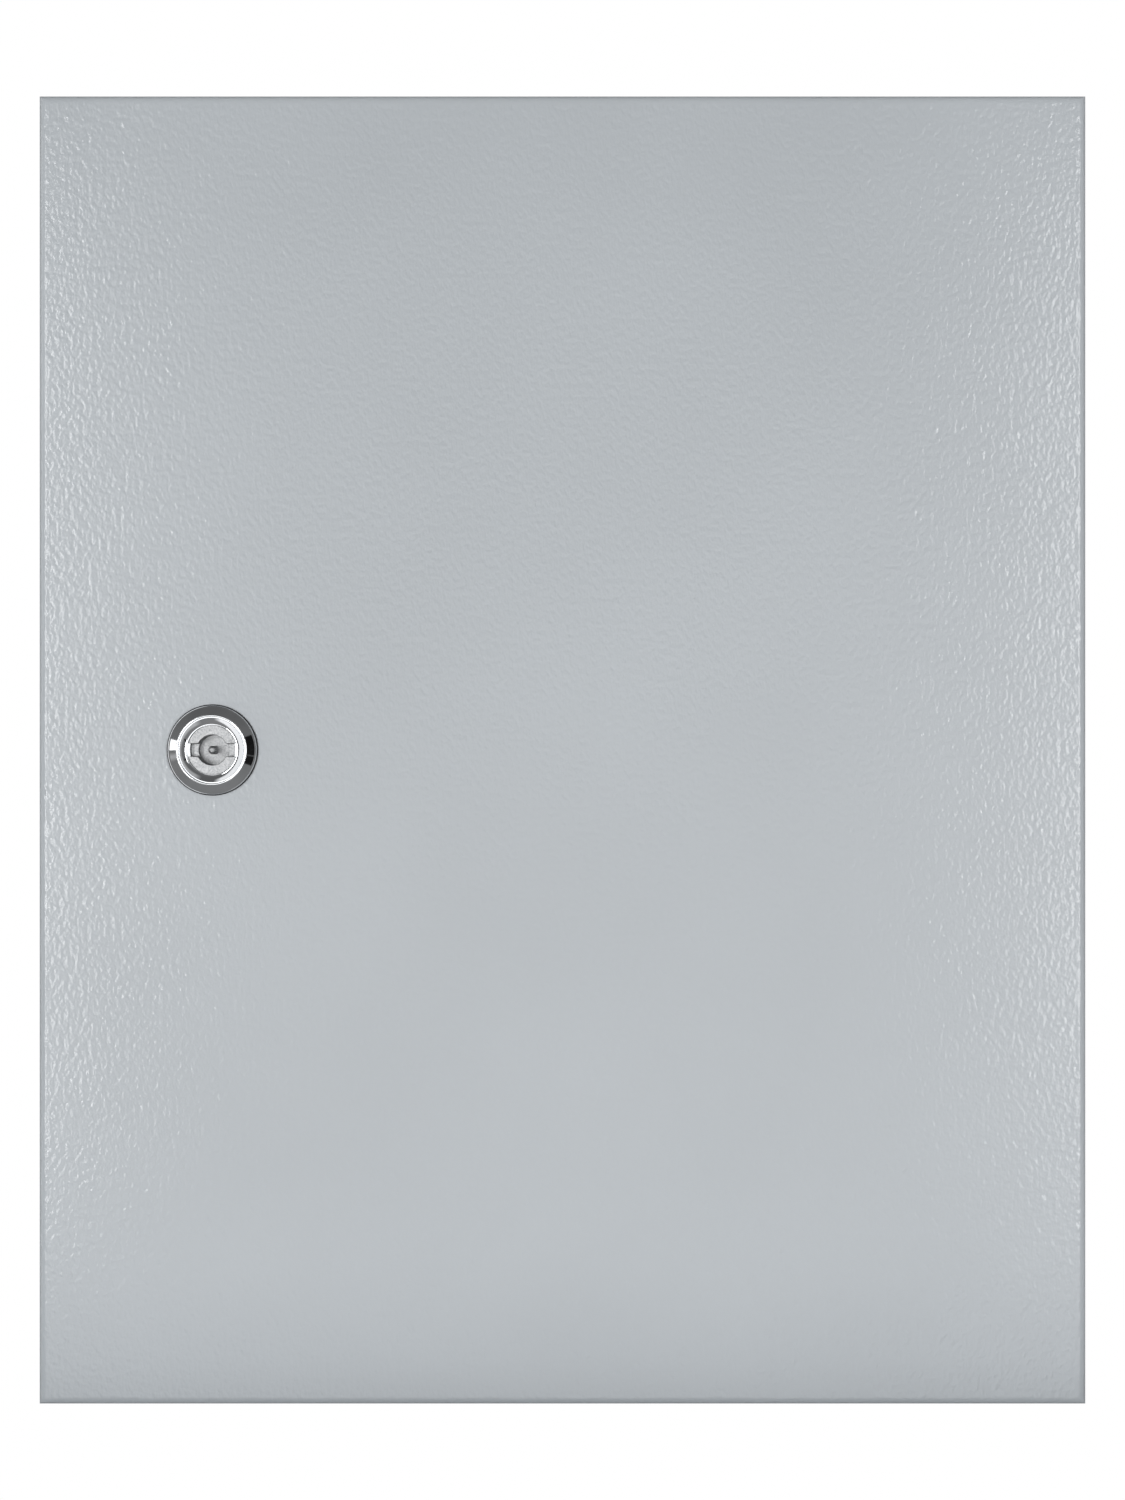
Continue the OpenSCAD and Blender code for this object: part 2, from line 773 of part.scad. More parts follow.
case_wrap();
back_panel();
hinge_bracket(1);  // hinge_bracket_upper
hinge_bracket(-1);  // hinge_bracket_lower
hinge_screws(1);  // hinge_screws_upper
hinge_screws(-1);  // hinge_screws_lower
hinge_nuts(1);  // hinge_nuts_upper
hinge_nuts(-1);  // hinge_nuts_lower
hinge_pin(1);  // hinge_pin_upper
hinge_pin(-1);  // hinge_pin_lower
mounting_plate();
plate_studs();
plate_spacers();
plate_washers();
plate_nuts();
gland_plate();
gland_gasket();
gland_studs();
gland_nuts();
color(zinc) on_case_floor() earth_stud();  // case_earth_stud
color(zinc) on_case_floor() earth_washers();  // case_earth_washers
color(zinc) on_case_floor() earth_nut();  // case_earth_nut
door_panel();
door_seal();
door_rail(-1);  // door_rail_left
door_rail(1);  // door_rail_right
door_knuckle(1);  // door_knuckle_upper
door_knuckle(-1);  // door_knuckle_lower
knuckle_studs();
knuckle_nuts();
color(zinc) on_door() earth_stud();  // door_earth_stud
color(zinc) on_door() earth_washers();  // door_earth_washers
color(zinc) on_door() earth_nut();  // door_earth_nut
lock_seal();
lock_housing();
lock_washer();
lock_nut();
lock_insert();
lock_o_ring();
lock_stop_disc();
lock_cam();
cam_washer();
cam_screw();
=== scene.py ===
import json
import math
import bmesh
import bpy
import numpy as np
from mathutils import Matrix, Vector


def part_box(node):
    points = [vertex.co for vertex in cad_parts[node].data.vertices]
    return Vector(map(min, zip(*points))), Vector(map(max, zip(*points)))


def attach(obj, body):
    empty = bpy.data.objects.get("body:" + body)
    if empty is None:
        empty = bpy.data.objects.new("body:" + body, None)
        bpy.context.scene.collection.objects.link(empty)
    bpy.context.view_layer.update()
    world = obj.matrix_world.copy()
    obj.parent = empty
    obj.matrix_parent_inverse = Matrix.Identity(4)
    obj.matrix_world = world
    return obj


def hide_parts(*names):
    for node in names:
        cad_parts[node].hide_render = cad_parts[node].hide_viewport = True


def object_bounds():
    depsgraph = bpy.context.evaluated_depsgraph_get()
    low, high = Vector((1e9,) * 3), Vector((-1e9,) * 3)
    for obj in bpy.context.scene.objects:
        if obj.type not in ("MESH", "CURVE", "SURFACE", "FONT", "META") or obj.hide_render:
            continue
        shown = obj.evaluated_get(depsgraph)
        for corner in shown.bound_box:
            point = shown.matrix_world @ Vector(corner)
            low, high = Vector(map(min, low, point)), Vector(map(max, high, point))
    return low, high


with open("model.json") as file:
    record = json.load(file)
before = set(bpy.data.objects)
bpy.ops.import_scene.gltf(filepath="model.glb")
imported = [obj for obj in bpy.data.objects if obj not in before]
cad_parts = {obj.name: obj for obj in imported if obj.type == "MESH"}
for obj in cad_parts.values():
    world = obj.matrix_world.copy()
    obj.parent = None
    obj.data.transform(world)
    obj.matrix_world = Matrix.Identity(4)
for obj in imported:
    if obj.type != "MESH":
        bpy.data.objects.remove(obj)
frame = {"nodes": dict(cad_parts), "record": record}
cadLow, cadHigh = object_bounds()
print("frame loaded:", len(frame["nodes"]), "nodes")

scene = bpy.context.scene
scene.view_settings.view_transform = "Standard"
mm = 0.001


def nodeBox(node):  # lowest and highest corner of a CAD node, in millimetres
    low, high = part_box(node)
    return np.array(low) / mm, np.array(high) / mm


# the camera stands square on to the door, in soft light and a plain room
cameraSetup = {"distance": 1.0, "frameHeight": 0.5725, "sensor": 36.0}
doorFace = nodeBox("door_panel")[0][1] * mm

camera = bpy.data.objects.new("camera", bpy.data.cameras.new("camera"))
scene.collection.objects.link(camera)
camera.location = (0, doorFace - cameraSetup["distance"], 0)
camera.rotation_euler = (math.pi / 2, 0, 0)
camera.data.sensor_width = cameraSetup["sensor"]
camera.data.lens = cameraSetup["sensor"] * cameraSetup["distance"] / cameraSetup["frameHeight"]
camera.data.clip_start, camera.data.clip_end = 0.01, 60
scene.camera = camera


def softbox(name, place, target, size, power):
    lamp = bpy.data.lights.new(name, "AREA")
    lamp.shape = "RECTANGLE"
    lamp.size, lamp.size_y = size
    lamp.energy = power
    box = bpy.data.objects.new(name, lamp)
    scene.collection.objects.link(box)
    box.location = place
    aim = Vector(target) - Vector(place)
    box.rotation_euler = aim.to_track_quat("-Z", "Y").to_euler()
    box.visible_camera = False
    return box


lightSetup = {
    "left": {"place": (-0.585, -1.35, 0.06), "size": (0.17, 0.86), "power": 3.9},
    "right": {"place": (0.585, -1.35, 0.06), "size": (0.17, 0.86), "power": 3.9},
    "back_left": {"place": (-1.2, 1.8, 1.2), "size": (1.2, 1.2), "power": 14.0},
    "back_right": {"place": (1.2, 1.8, 1.2), "size": (1.2, 1.2), "power": 14.0},
}
lightAim = (0, -0.15, 0)
for name, setup in lightSetup.items():
    lit = softbox("light_" + name, setup["place"], lightAim, setup["size"], setup["power"])
    lit.visible_glossy = setup["place"][1] < lightAim[1]  # the lights behind leave no glare


def maths(tree, operation, first, second=0.0, third=None, clamp=False):
    node = tree.nodes.new("ShaderNodeMath")
    node.operation = operation
    node.use_clamp = clamp
    for socket, value in zip(node.inputs, (first, second, third)):
        if value is None:
            continue
        if isinstance(value, (int, float)):
            socket.default_value = value
        else:
            tree.links.new(value, socket)
    return node.outputs[0]


def buildWorld():
    # the room: white to the eye; to the metal a grey room, bright beyond the sides and low down
    # in front, with a strip light on the left and a dark doorway on the right
    world = bpy.data.worlds.new("room")
    scene.world = world
    world.use_nodes = True
    tree = world.node_tree
    tree.nodes.clear()
    direction = tree.nodes.new("ShaderNodeTexCoord").outputs["Generated"]
    split = tree.nodes.new("ShaderNodeSeparateXYZ")
    tree.links.new(direction, split.inputs[0])
    x, y, z = split.outputs
    tilt = maths(tree, "ARCTAN2", z, maths(tree, "ABSOLUTE", x))

    def band(value, low, high, soft):  # 1 between low and high, with soft ends
        up = maths(tree, "DIVIDE", maths(tree, "SUBTRACT", value, low), soft, clamp=True)
        down = maths(tree, "DIVIDE", maths(tree, "SUBTRACT", high, value), soft, clamp=True)
        return maths(tree, "MULTIPLY", up, down)

    def patch(*bands):
        total = bands[0]
        for other in bands[1:]:
            total = maths(tree, "MULTIPLY", total, other)
        return total

    beside = band(y, -0.50, -0.37, 0.01)
    patches = [  # how much each adds to the grey, and where it lies
        # left wall, right wall, and the low part of the room in front
        (0.95, patch(band(y, -0.38, 0.0, 0.04), band(x, -2, -0.20, 0.20))),
        (0.35, patch(band(y, -0.50, -0.1, 0.05), band(x, 0.20, 2, 0.20))),
        (1.90, patch(band(y, -2, -0.90, 0.05), band(z, -2, 0.24, 0.26))),
        # strip light on the left, and its pale foot
        (1.50, patch(band(x, -2, -0.80, 0.02), beside, band(tilt, -0.01, 0.23, 0.01))),
        (0.25, patch(band(x, -2, -0.70, 0.02), beside, band(tilt, -0.25, -0.05, 0.08))),
    ]
    tone = {"level": 0.19, "rise": -0.07, "doorway": -0.95, "ledge": 0.10}
    grey = maths(tree, "MULTIPLY_ADD", z, tone["rise"], tone["level"])
    for amount, where in patches:
        grey = maths(tree, "MULTIPLY_ADD", where, amount, grey)
    doorway = patch(band(x, 0.66, 0.80, 0.015), band(tilt, -0.46, 0.44, 0.02),
                    band(y, -0.75, -0.40, 0.02))
    ledge = patch(doorway, band(tilt, -0.19, -0.15, 0.01))
    darker = maths(tree, "MULTIPLY", grey, tone["doorway"])
    grey = maths(tree, "MULTIPLY_ADD", doorway, darker, grey)
    grey = maths(tree, "MULTIPLY_ADD", ledge, tone["ledge"], grey)
    room = tree.nodes.new("ShaderNodeBackground")
    tree.links.new(grey, room.inputs["Color"])
    white = tree.nodes.new("ShaderNodeBackground")
    white.inputs["Color"].default_value = (1, 1, 1, 1)
    rays = tree.nodes.new("ShaderNodeLightPath")
    mix = tree.nodes.new("ShaderNodeMixShader")
    tree.links.new(rays.outputs["Is Camera Ray"], mix.inputs[0])
    tree.links.new(room.outputs[0], mix.inputs[1])
    tree.links.new(white.outputs[0], mix.inputs[2])
    out = tree.nodes.new("ShaderNodeOutputWorld")
    tree.links.new(mix.outputs[0], out.inputs["Surface"])


buildWorld()


def buildFloor():
    # a pale sheet under the object, white to the eye and clear from below
    sheet = {"half": 0.6, "ahead": 0.15, "drop": 0.0006, "colour": (0.80, 0.81, 0.82, 1)}
    half, front, level = sheet["half"], cadLow[1] - sheet["ahead"], cadLow[2] - sheet["drop"]
    mesh = bpy.data.meshes.new("floor")
    corners = [(-half, front, level), (half, front, level), (half, half, level), (-half, half, level)]
    mesh.from_pydata(corners, [], [(0, 1, 2, 3)])
    floor = bpy.data.objects.new("floor", mesh)
    scene.collection.objects.link(floor)
    material = bpy.data.materials.new("pale_floor")
    material.use_nodes = True
    tree = material.node_tree
    tree.nodes.clear()
    pale = tree.nodes.new("ShaderNodeBsdfDiffuse")
    pale.inputs["Color"].default_value = sheet["colour"]
    glow = tree.nodes.new("ShaderNodeEmission")
    clear = tree.nodes.new("ShaderNodeBsdfTransparent")
    rays = tree.nodes.new("ShaderNodeLightPath").outputs["Is Camera Ray"]
    below = tree.nodes.new("ShaderNodeNewGeometry").outputs["Backfacing"]
    mix, side = tree.nodes.new("ShaderNodeMixShader"), tree.nodes.new("ShaderNodeMixShader")
    out = tree.nodes.new("ShaderNodeOutputMaterial")
    for start, end in ((rays, mix.inputs[0]), (pale.outputs[0], mix.inputs[1]),
                       (glow.outputs[0], mix.inputs[2]), (below, side.inputs[0]),
                       (mix.outputs[0], side.inputs[1]), (clear.outputs[0], side.inputs[2]),
                       (side.outputs[0], out.inputs["Surface"])):
        tree.links.new(start, end)
    mesh.materials.append(material)
    floor.visible_glossy = False


buildFloor()
print("camera, lights and floor set")


# finishes: one function each, with patterns on object coordinates
def newFinish(name):
    material = bpy.data.materials.new(name)
    material.use_nodes = True
    tree = material.node_tree
    shader = next(n for n in tree.nodes if n.type == "BSDF_PRINCIPLED")
    place = tree.nodes.new("ShaderNodeTexCoord").outputs["Object"]
    return material, tree, shader, place


def noise(tree, place, scale, detail=2.0, roughness=0.5, stretch=None):
    texture = tree.nodes.new("ShaderNodeTexNoise")
    texture.inputs["Scale"].default_value = scale
    texture.inputs["Detail"].default_value = detail
    texture.inputs["Roughness"].default_value = roughness
    if stretch:
        turn = tree.nodes.new("ShaderNodeMapping")
        turn.inputs["Scale"].default_value = stretch
        tree.links.new(place, turn.inputs["Vector"])
        place = turn.outputs[0]
    tree.links.new(place, texture.inputs["Vector"])
    return texture.outputs["Fac"]


def ramp(tree, value, stops):
    node = tree.nodes.new("ShaderNodeValToRGB")
    points = node.color_ramp.elements
    while len(points) < len(stops):
        points.new(0.5)
    for point, (where, colour) in zip(points, stops):
        point.position = where
        point.color = (*colour, 1) if len(colour) == 3 else colour
    tree.links.new(value, node.inputs[0])
    return node.outputs[0]


def between(tree, value, low, high):  # carries 0..1 to low..high
    node = tree.nodes.new("ShaderNodeMapRange")
    node.inputs["To Min"].default_value = low
    node.inputs["To Max"].default_value = high
    tree.links.new(value, node.inputs["Value"])
    return node.outputs[0]


def bump(tree, height, distance, strength=1.0, under=None):
    node = tree.nodes.new("ShaderNodeBump")
    node.inputs["Strength"].default_value = strength
    node.inputs["Distance"].default_value = distance
    tree.links.new(height, node.inputs["Height"])
    if under is not None:
        tree.links.new(under, node.inputs["Normal"])
    return node.outputs[0]


def edgeWear(tree, radius):  # how far the rounded normal leans from the true one
    bevel = tree.nodes.new("ShaderNodeBevel")
    bevel.samples = 4
    bevel.inputs["Radius"].default_value = radius
    normal = tree.nodes.new("ShaderNodeNewGeometry").outputs["Normal"]
    dot = tree.nodes.new("ShaderNodeVectorMath")
    dot.operation = "DOT_PRODUCT"
    tree.links.new(bevel.outputs[0], dot.inputs[0])
    tree.links.new(normal, dot.inputs[1])
    return maths(tree, "SUBTRACT", 1.0, dot.outputs["Value"], clamp=True)


def powderCoat():
    # even light grey, mottled by 2%, over an orange-peel height of two noises added
    coat = {"colour": (0.527, 0.561, 0.590), "peel": 560, "peelHeight": 0.00020, "fine": 2600}
    material, tree, shader, place = newFinish("powder_coat")
    cloud = noise(tree, place, 9, 3)
    base = coat["colour"]
    dark = tuple(c * 0.975 for c in base)
    light = tuple(min(c * 1.02, 1) for c in base)
    tree.links.new(ramp(tree, cloud, [(0.3, dark), (0.7, light)]), shader.inputs["Base Color"])
    peel = noise(tree, place, coat["peel"], 1.5, 0.45, (1, 1, 0.72))
    fine = noise(tree, place, coat["fine"], 1)
    rough = between(tree, noise(tree, place, 160, 2), 0.13, 0.20)
    tree.links.new(rough, shader.inputs["Roughness"])
    low = bump(tree, peel, coat["peelHeight"], 1.0)
    tree.links.new(bump(tree, fine, 0.00001, 0.6, low), shader.inputs["Normal"])
    shader.inputs["Specular IOR Level"].default_value = 0.5
    return material


def galvanised():
    # zinc crystals: cells of differing brightness and gloss with a faint step at their edges
    material, tree, shader, place = newFinish("galvanised_plate")
    cells = tree.nodes.new("ShaderNodeTexVoronoi")
    cells.inputs["Scale"].default_value = 95
    wander = tree.nodes.new("ShaderNodeTexNoise")
    wander.inputs["Scale"].default_value = 60
    shift = tree.nodes.new("ShaderNodeVectorMath")
    shift.operation = "MULTIPLY_ADD"
    tree.links.new(place, wander.inputs["Vector"])
    tree.links.new(wander.outputs["Color"], shift.inputs[0])
    shift.inputs[1].default_value = (0.006, 0.006, 0.006)
    tree.links.new(place, shift.inputs[2])
    tree.links.new(shift.outputs[0], cells.inputs["Vector"])
    tone = tree.nodes.new("ShaderNodeSeparateColor")
    tree.links.new(cells.outputs["Color"], tone.inputs[0])
    colour = ramp(tree, tone.outputs[0], [(0.0, (0.34, 0.36, 0.38)), (1.0, (0.50, 0.52, 0.53))])
    tree.links.new(colour, shader.inputs["Base Color"])
    shader.inputs["Metallic"].default_value = 1.0
    tree.links.new(between(tree, tone.outputs[1], 0.38, 0.58), shader.inputs["Roughness"])
    crystal = bump(tree, cells.outputs["Distance"], 0.00006, 0.5)
    grain = noise(tree, place, 900, 3)
    tree.links.new(bump(tree, grain, 0.00002, 0.5, crystal), shader.inputs["Normal"])
    return material


def zincPlate():
    # bright plating: bluish to straw clouds, fine pitting, polished where edges rub
    material, tree, shader, place = newFinish("zinc_plated_steel")
    cloud = noise(tree, place, 55, 4)
    stops = [(0.25, (0.50, 0.53, 0.57)), (0.55, (0.60, 0.61, 0.61)), (0.8, (0.62, 0.60, 0.53))]
    tree.links.new(ramp(tree, cloud, stops), shader.inputs["Base Color"])
    shader.inputs["Metallic"].default_value = 1.0
    rough = between(tree, noise(tree, place, 420, 3), 0.22, 0.42)
    wear = maths(tree, "MULTIPLY", edgeWear(tree, 0.0004), -0.3)
    tree.links.new(maths(tree, "ADD", rough, wear), shader.inputs["Roughness"])
    pits = noise(tree, place, 1500, 3)
    tree.links.new(bump(tree, pits, 0.00002, 0.6), shader.inputs["Normal"])
    return material


def copperStud():
    # dull copper flash over steel, browner in soft clouds
    material, tree, shader, place = newFinish("copper_plated_stud")
    cloud = noise(tree, place, 240, 4)
    stops = [(0.3, (0.38, 0.17, 0.09)), (0.7, (0.72, 0.38, 0.22))]
    tree.links.new(ramp(tree, cloud, stops), shader.inputs["Base Color"])
    shader.inputs["Metallic"].default_value = 1.0
    tree.links.new(between(tree, noise(tree, place, 700, 2), 0.3, 0.5), shader.inputs["Roughness"])
    tree.links.new(bump(tree, cloud, 0.00003, 0.5), shader.inputs["Normal"])
    return material


def foam():
    # foamed skin: near-black, with small open bubbles and a slow swell along the bead
    material, tree, shader, place = newFinish("foam_seal")
    cloud = noise(tree, place, 70, 3)
    stops = [(0.3, (0.026, 0.027, 0.029)), (0.7, (0.050, 0.051, 0.054))]
    tree.links.new(ramp(tree, cloud, stops), shader.inputs["Base Color"])
    shader.inputs["Specular IOR Level"].default_value = 0.35
    tree.links.new(between(tree, cloud, 0.55, 0.75), shader.inputs["Roughness"])
    bubbles = tree.nodes.new("ShaderNodeTexVoronoi")
    bubbles.inputs["Scale"].default_value = 900
    tree.links.new(place, bubbles.inputs["Vector"])
    holes = between(tree, bubbles.outputs["Distance"], 0.0, 1.0)
    skin = bump(tree, noise(tree, place, 220, 3), 0.0002, 0.5)
    tree.links.new(bump(tree, holes, 0.00008, 0.6, skin), shader.inputs["Normal"])
    return material


def rubber():
    # matt black sheet rubber with a dusty bloom
    material, tree, shader, place = newFinish("black_rubber")
    cloud = noise(tree, place, 120, 4)
    stops = [(0.3, (0.016, 0.016, 0.017)), (0.75, (0.038, 0.038, 0.038))]
    tree.links.new(ramp(tree, cloud, stops), shader.inputs["Base Color"])
    tree.links.new(between(tree, cloud, 0.6, 0.8), shader.inputs["Roughness"])
    tree.links.new(bump(tree, noise(tree, place, 1200, 2), 0.00003, 0.5), shader.inputs["Normal"])
    return material


def chrome():
    # mirror plating with a faint swell and hairline polishing marks
    material, tree, shader, place = newFinish("chrome_plate")
    cloud = noise(tree, place, 90, 3)
    stops = [(0.3, (0.66, 0.68, 0.70)), (0.7, (0.78, 0.79, 0.81))]
    tree.links.new(ramp(tree, cloud, stops), shader.inputs["Base Color"])
    shader.inputs["Metallic"].default_value = 1.0
    tree.links.new(between(tree, noise(tree, place, 800, 3), 0.03, 0.09), shader.inputs["Roughness"])
    tree.links.new(bump(tree, noise(tree, place, 260, 2), 0.00002, 0.5), shader.inputs["Normal"])
    return material


def casting(centre):
    # plated die casting: grains drawn out along the radii round the turning axis
    material, tree, shader, place = newFinish("nickel_plated_casting")
    middle = tree.nodes.new("ShaderNodeMapping")
    middle.inputs["Location"].default_value = tuple(-c for c in centre)
    tree.links.new(place, middle.inputs["Vector"])
    split = tree.nodes.new("ShaderNodeSeparateXYZ")
    tree.links.new(middle.outputs[0], split.inputs[0])
    angle = maths(tree, "ARCTAN2", split.outputs[2], split.outputs[0])
    square = maths(tree, "MULTIPLY", split.outputs[0], split.outputs[0])
    radius = maths(tree, "SQRT", maths(tree, "MULTIPLY_ADD", split.outputs[2], split.outputs[2], square))
    polar = tree.nodes.new("ShaderNodeCombineXYZ")
    tree.links.new(maths(tree, "SINE", angle), polar.inputs[0])
    tree.links.new(maths(tree, "COSINE", angle), polar.inputs[1])
    tree.links.new(maths(tree, "MULTIPLY", radius, 90.0), polar.inputs[2])
    streaks = noise(tree, polar.outputs[0], 14, 3, 0.6)
    grain = noise(tree, place, 1300, 3)
    both = maths(tree, "MULTIPLY_ADD", streaks, 0.7, maths(tree, "MULTIPLY", grain, 0.5))
    stops = [(0.3, (0.12, 0.125, 0.13)), (0.55, (0.27, 0.275, 0.28)), (0.85, (0.42, 0.425, 0.43))]
    tree.links.new(ramp(tree, both, stops), shader.inputs["Base Color"])
    shader.inputs["Metallic"].default_value = 1.0
    tree.links.new(between(tree, grain, 0.24, 0.42), shader.inputs["Roughness"])
    tree.links.new(bump(tree, both, 0.00014, 0.7), shader.inputs["Normal"])
    return material


lockLow, lockHigh = nodeBox("lock_insert")
lockCentre = (lockLow + lockHigh) / 2
finishes = {
    "powder_coat": powderCoat(),
    "galvanised_plate": galvanised(),
    "zinc_plated_steel": zincPlate(),
    "copper_plated_stud": copperStud(),
    "foam_seal": foam(),
    "black_rubber": rubber(),
    "chrome_plate": chrome(),
    "nickel_plated_casting": casting(tuple(lockCentre * mm)),
}
slotOf = {part["node"]: part["material_slot"] for part in frame["record"]["subparts"]}
bodyOf = {n: b for b, ns in frame["record"]["behaviour"]["bodies"].items() for n in ns}
for node, cadObject in frame["nodes"].items():
    for place in cadObject.material_slots:
        place.material = finishes[slotOf[node]]
print("finishes made:", ", ".join(finishes))


# a shell is a pair of points in millimetres and faces, until makePiece closes it
def gridFaces(rows, columns, loopRows=False, loopColumns=True):
    i = np.arange(rows if loopRows else rows - 1)
    j = np.arange(columns if loopColumns else columns - 1)
    a, b = np.meshgrid(i, j, indexing="ij")
    c, d = (a + 1) % rows, (b + 1) % columns
    corners = [a * columns + b, c * columns + b, c * columns + d, a * columns + d]
    return np.stack(corners, -1).reshape(-1, 4)


def joined(shells):
    # several shells as one, in the order they come
    points, faces, start = [], [], 0
    for p, f in shells:
        points.append(p.reshape(-1, 3))
        faces += [[int(i) + start for i in face] for face in f]
        start += len(points[-1])
    return np.concatenate(points), faces


def makePiece(name, shells, node, sharp=40, replaced=None):
    # joins the shells, closes their seams and points them outwards
    mesh = bpy.data.meshes.new(name)
    points, faces = joined(shells)
    mesh.from_pydata((points * mm).tolist(), [], faces)
    closeMesh(mesh, sharp)
    return addPiece(name, mesh, node, [node] if replaced is None else replaced)


def closeMesh(mesh, sharp):
    work = bmesh.new()
    work.from_mesh(mesh)
    bmesh.ops.remove_doubles(work, verts=work.verts, dist=2e-7)
    bmesh.ops.dissolve_degenerate(work, edges=work.edges, dist=1e-8)
    bmesh.ops.recalc_face_normals(work, faces=work.faces)
    work.to_mesh(mesh)
    work.free()
    mesh.shade_smooth()
    mesh.set_sharp_from_angle(angle=math.radians(sharp))


def addPiece(name, mesh, node, replaced):
    piece = bpy.data.objects.new(name, mesh)
    scene.collection.objects.link(piece)
    mesh.materials.clear()
    mesh.materials.append(finishes[slotOf[node]])
    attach(piece, bodyOf[node])
    if replaced:
        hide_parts(*replaced)
    return piece


def settle(piece, sharp=40):
    # applies what is on a piece, so that its mesh is final
    graph = bpy.context.evaluated_depsgraph_get()
    mesh = bpy.data.meshes.new_from_object(piece.evaluated_get(graph))
    piece.modifiers.clear()
    piece.data = mesh
    closeMesh(mesh, sharp)


def cutAway(piece, cutters, sharp=40):
    for points, faces in cutters:
        mesh = bpy.data.meshes.new("cutter")
        mesh.from_pydata((points.reshape(-1, 3) * mm).tolist(), [], [list(map(int, f)) for f in faces])
        closeMesh(mesh, sharp)
        cutter = bpy.data.objects.new("cutter", mesh)
        scene.collection.objects.link(cutter)
        away = piece.modifiers.new("cut", "BOOLEAN")
        away.operation, away.solver, away.object = "DIFFERENCE", "EXACT", cutter
        settle(piece, sharp)
        bpy.data.objects.remove(cutter)


def frameRing(halfW, halfH, radius, y, cornerSteps=6, sideSteps=3):
    # once round a rectangle with round corners: a quarter turn, then a straight side, four times
    turn = np.linspace(0, math.pi / 2, cornerSteps + 1)
    signs = ((1, 1), (-1, 1), (-1, -1), (1, -1))
    quarters = []
    for quarter, (sx, sz) in enumerate(signs):
        a = turn + quarter * math.pi / 2
        centre = (sx * (halfW - radius), sz * (halfH - radius))
        quarters.append(np.stack([centre[0] + radius * np.cos(a), centre[1] + radius * np.sin(a)], -1))
    path = []
    for quarter in range(4):
        here, there = quarters[quarter], quarters[(quarter + 1) % 4]
        side = np.linspace(0, 1, sideSteps + 2)[1:-1, None]
        path += [here, here[-1] * (1 - side) + there[0] * side]
    flat = np.concatenate(path)
    return np.stack([flat[:, 0], np.full(len(flat), y), flat[:, 1]], -1)


def ringShell(rings, loop=True, **steps):
    points = np.stack([frameRing(*ring, **steps) for ring in rings])
    return points, gridFaces(*points.shape[:2], loopRows=loop)


def arc(centre, radius, start, end, steps):
    # points of (inset, depth) on an arc, angles in degrees
    a = np.radians(np.linspace(start, end, steps + 1))
    return [(centre[0] + radius * c, centre[1] + radius * s) for c, s in zip(np.cos(a), np.sin(a))]


def trayShell(halfW, halfH, tray, xs, zs, faceY, way, relief=None):
    # a folded tray: a grid over the flat, then rings down the bend and the folded edge, and the
    # same again one sheet further in; relief(x, z) lifts the flat off its plane
    bendR, sheet, depth = tray["bend"], tray["sheet"], tray["depth"]
    gx, gz = np.meshgrid(xs, zs, indexing="ij")
    lift = relief(gx, gz) if relief else np.zeros_like(gx)
    shells = []
    edge = np.concatenate([
        np.stack([xs, np.full_like(xs, zs[0])], -1)[:-1],
        np.stack([np.full_like(zs, xs[-1]), zs], -1)[:-1],
        np.stack([xs[::-1], np.full_like(xs, zs[-1])], -1)[:-1],
        np.stack([np.full_like(zs, xs[0]), zs[::-1]], -1)[:-1]])
    onX, onZ = np.abs(edge[:, 0]) > xs[-1] - 1e-6, np.abs(edge[:, 1]) > zs[-1] - 1e-6
    rings = []
    for inset, t in (arc((bendR, bendR), bendR, 270, 180, 7) + [(0, depth), (sheet, depth)]
                     + arc((bendR, bendR), bendR - sheet, 180, 270, 5)):
        px = np.where(onX, np.sign(edge[:, 0]) * (halfW - inset), edge[:, 0])
        pz = np.where(onZ, np.sign(edge[:, 1]) * (halfH - inset), edge[:, 1])
        rings.append(np.stack([px, np.full(len(edge), faceY + way * t), pz], -1))
    rings = np.stack(rings)
    shells.append((rings, gridFaces(*rings.shape[:2])))
    for t in (0, sheet):
        flat = np.stack([gx, faceY + way * (t - lift), gz], -1)
        shells.append((flat, gridFaces(*flat.shape[:2], loopColumns=False)))
    return joined(shells)


def turned(profile, steps=48, shape=None, loop=True):
    # carries (radius, height) round an axis; shape(angle, radius, height) may change the radius
    profile = np.array(profile, float)
    angle = np.linspace(0, 2 * math.pi, steps, endpoint=False)
    r, a = np.meshgrid(profile[:, 0], angle, indexing="ij")
    h = np.repeat(profile[:, 1:2], steps, 1)
    if shape:
        r, h = shape(a, r, h)
    points = np.stack([r * np.cos(a), r * np.sin(a), h], -1)
    faces = [list(f) for f in gridFaces(*points.shape[:2], loopRows=loop)]
    if not loop:
        count = points.shape[0] * steps
        faces += [list(range(steps)), list(range(count - steps, count))]
    return points, faces


def placed(shell, origin, axis):
    # stands a shell made along +Z on origin, along "+z", "+y" or "-y"
    points, faces = shell
    x, y, z = points[..., 0], points[..., 1], points[..., 2]
    turnedTo = {"+z": (x, y, z), "+y": (x, z, -y), "-y": (x, -z, y)}[axis]
    return np.stack(turnedTo, -1) + np.array(origin, float), faces


def facing(shell, x, z):
    # turns a shell made along +Z to lie along the depth, round the line through x and z
    points, faces = shell
    return np.stack([points[..., 0] + x, points[..., 2], points[..., 1] + z], -1), faces


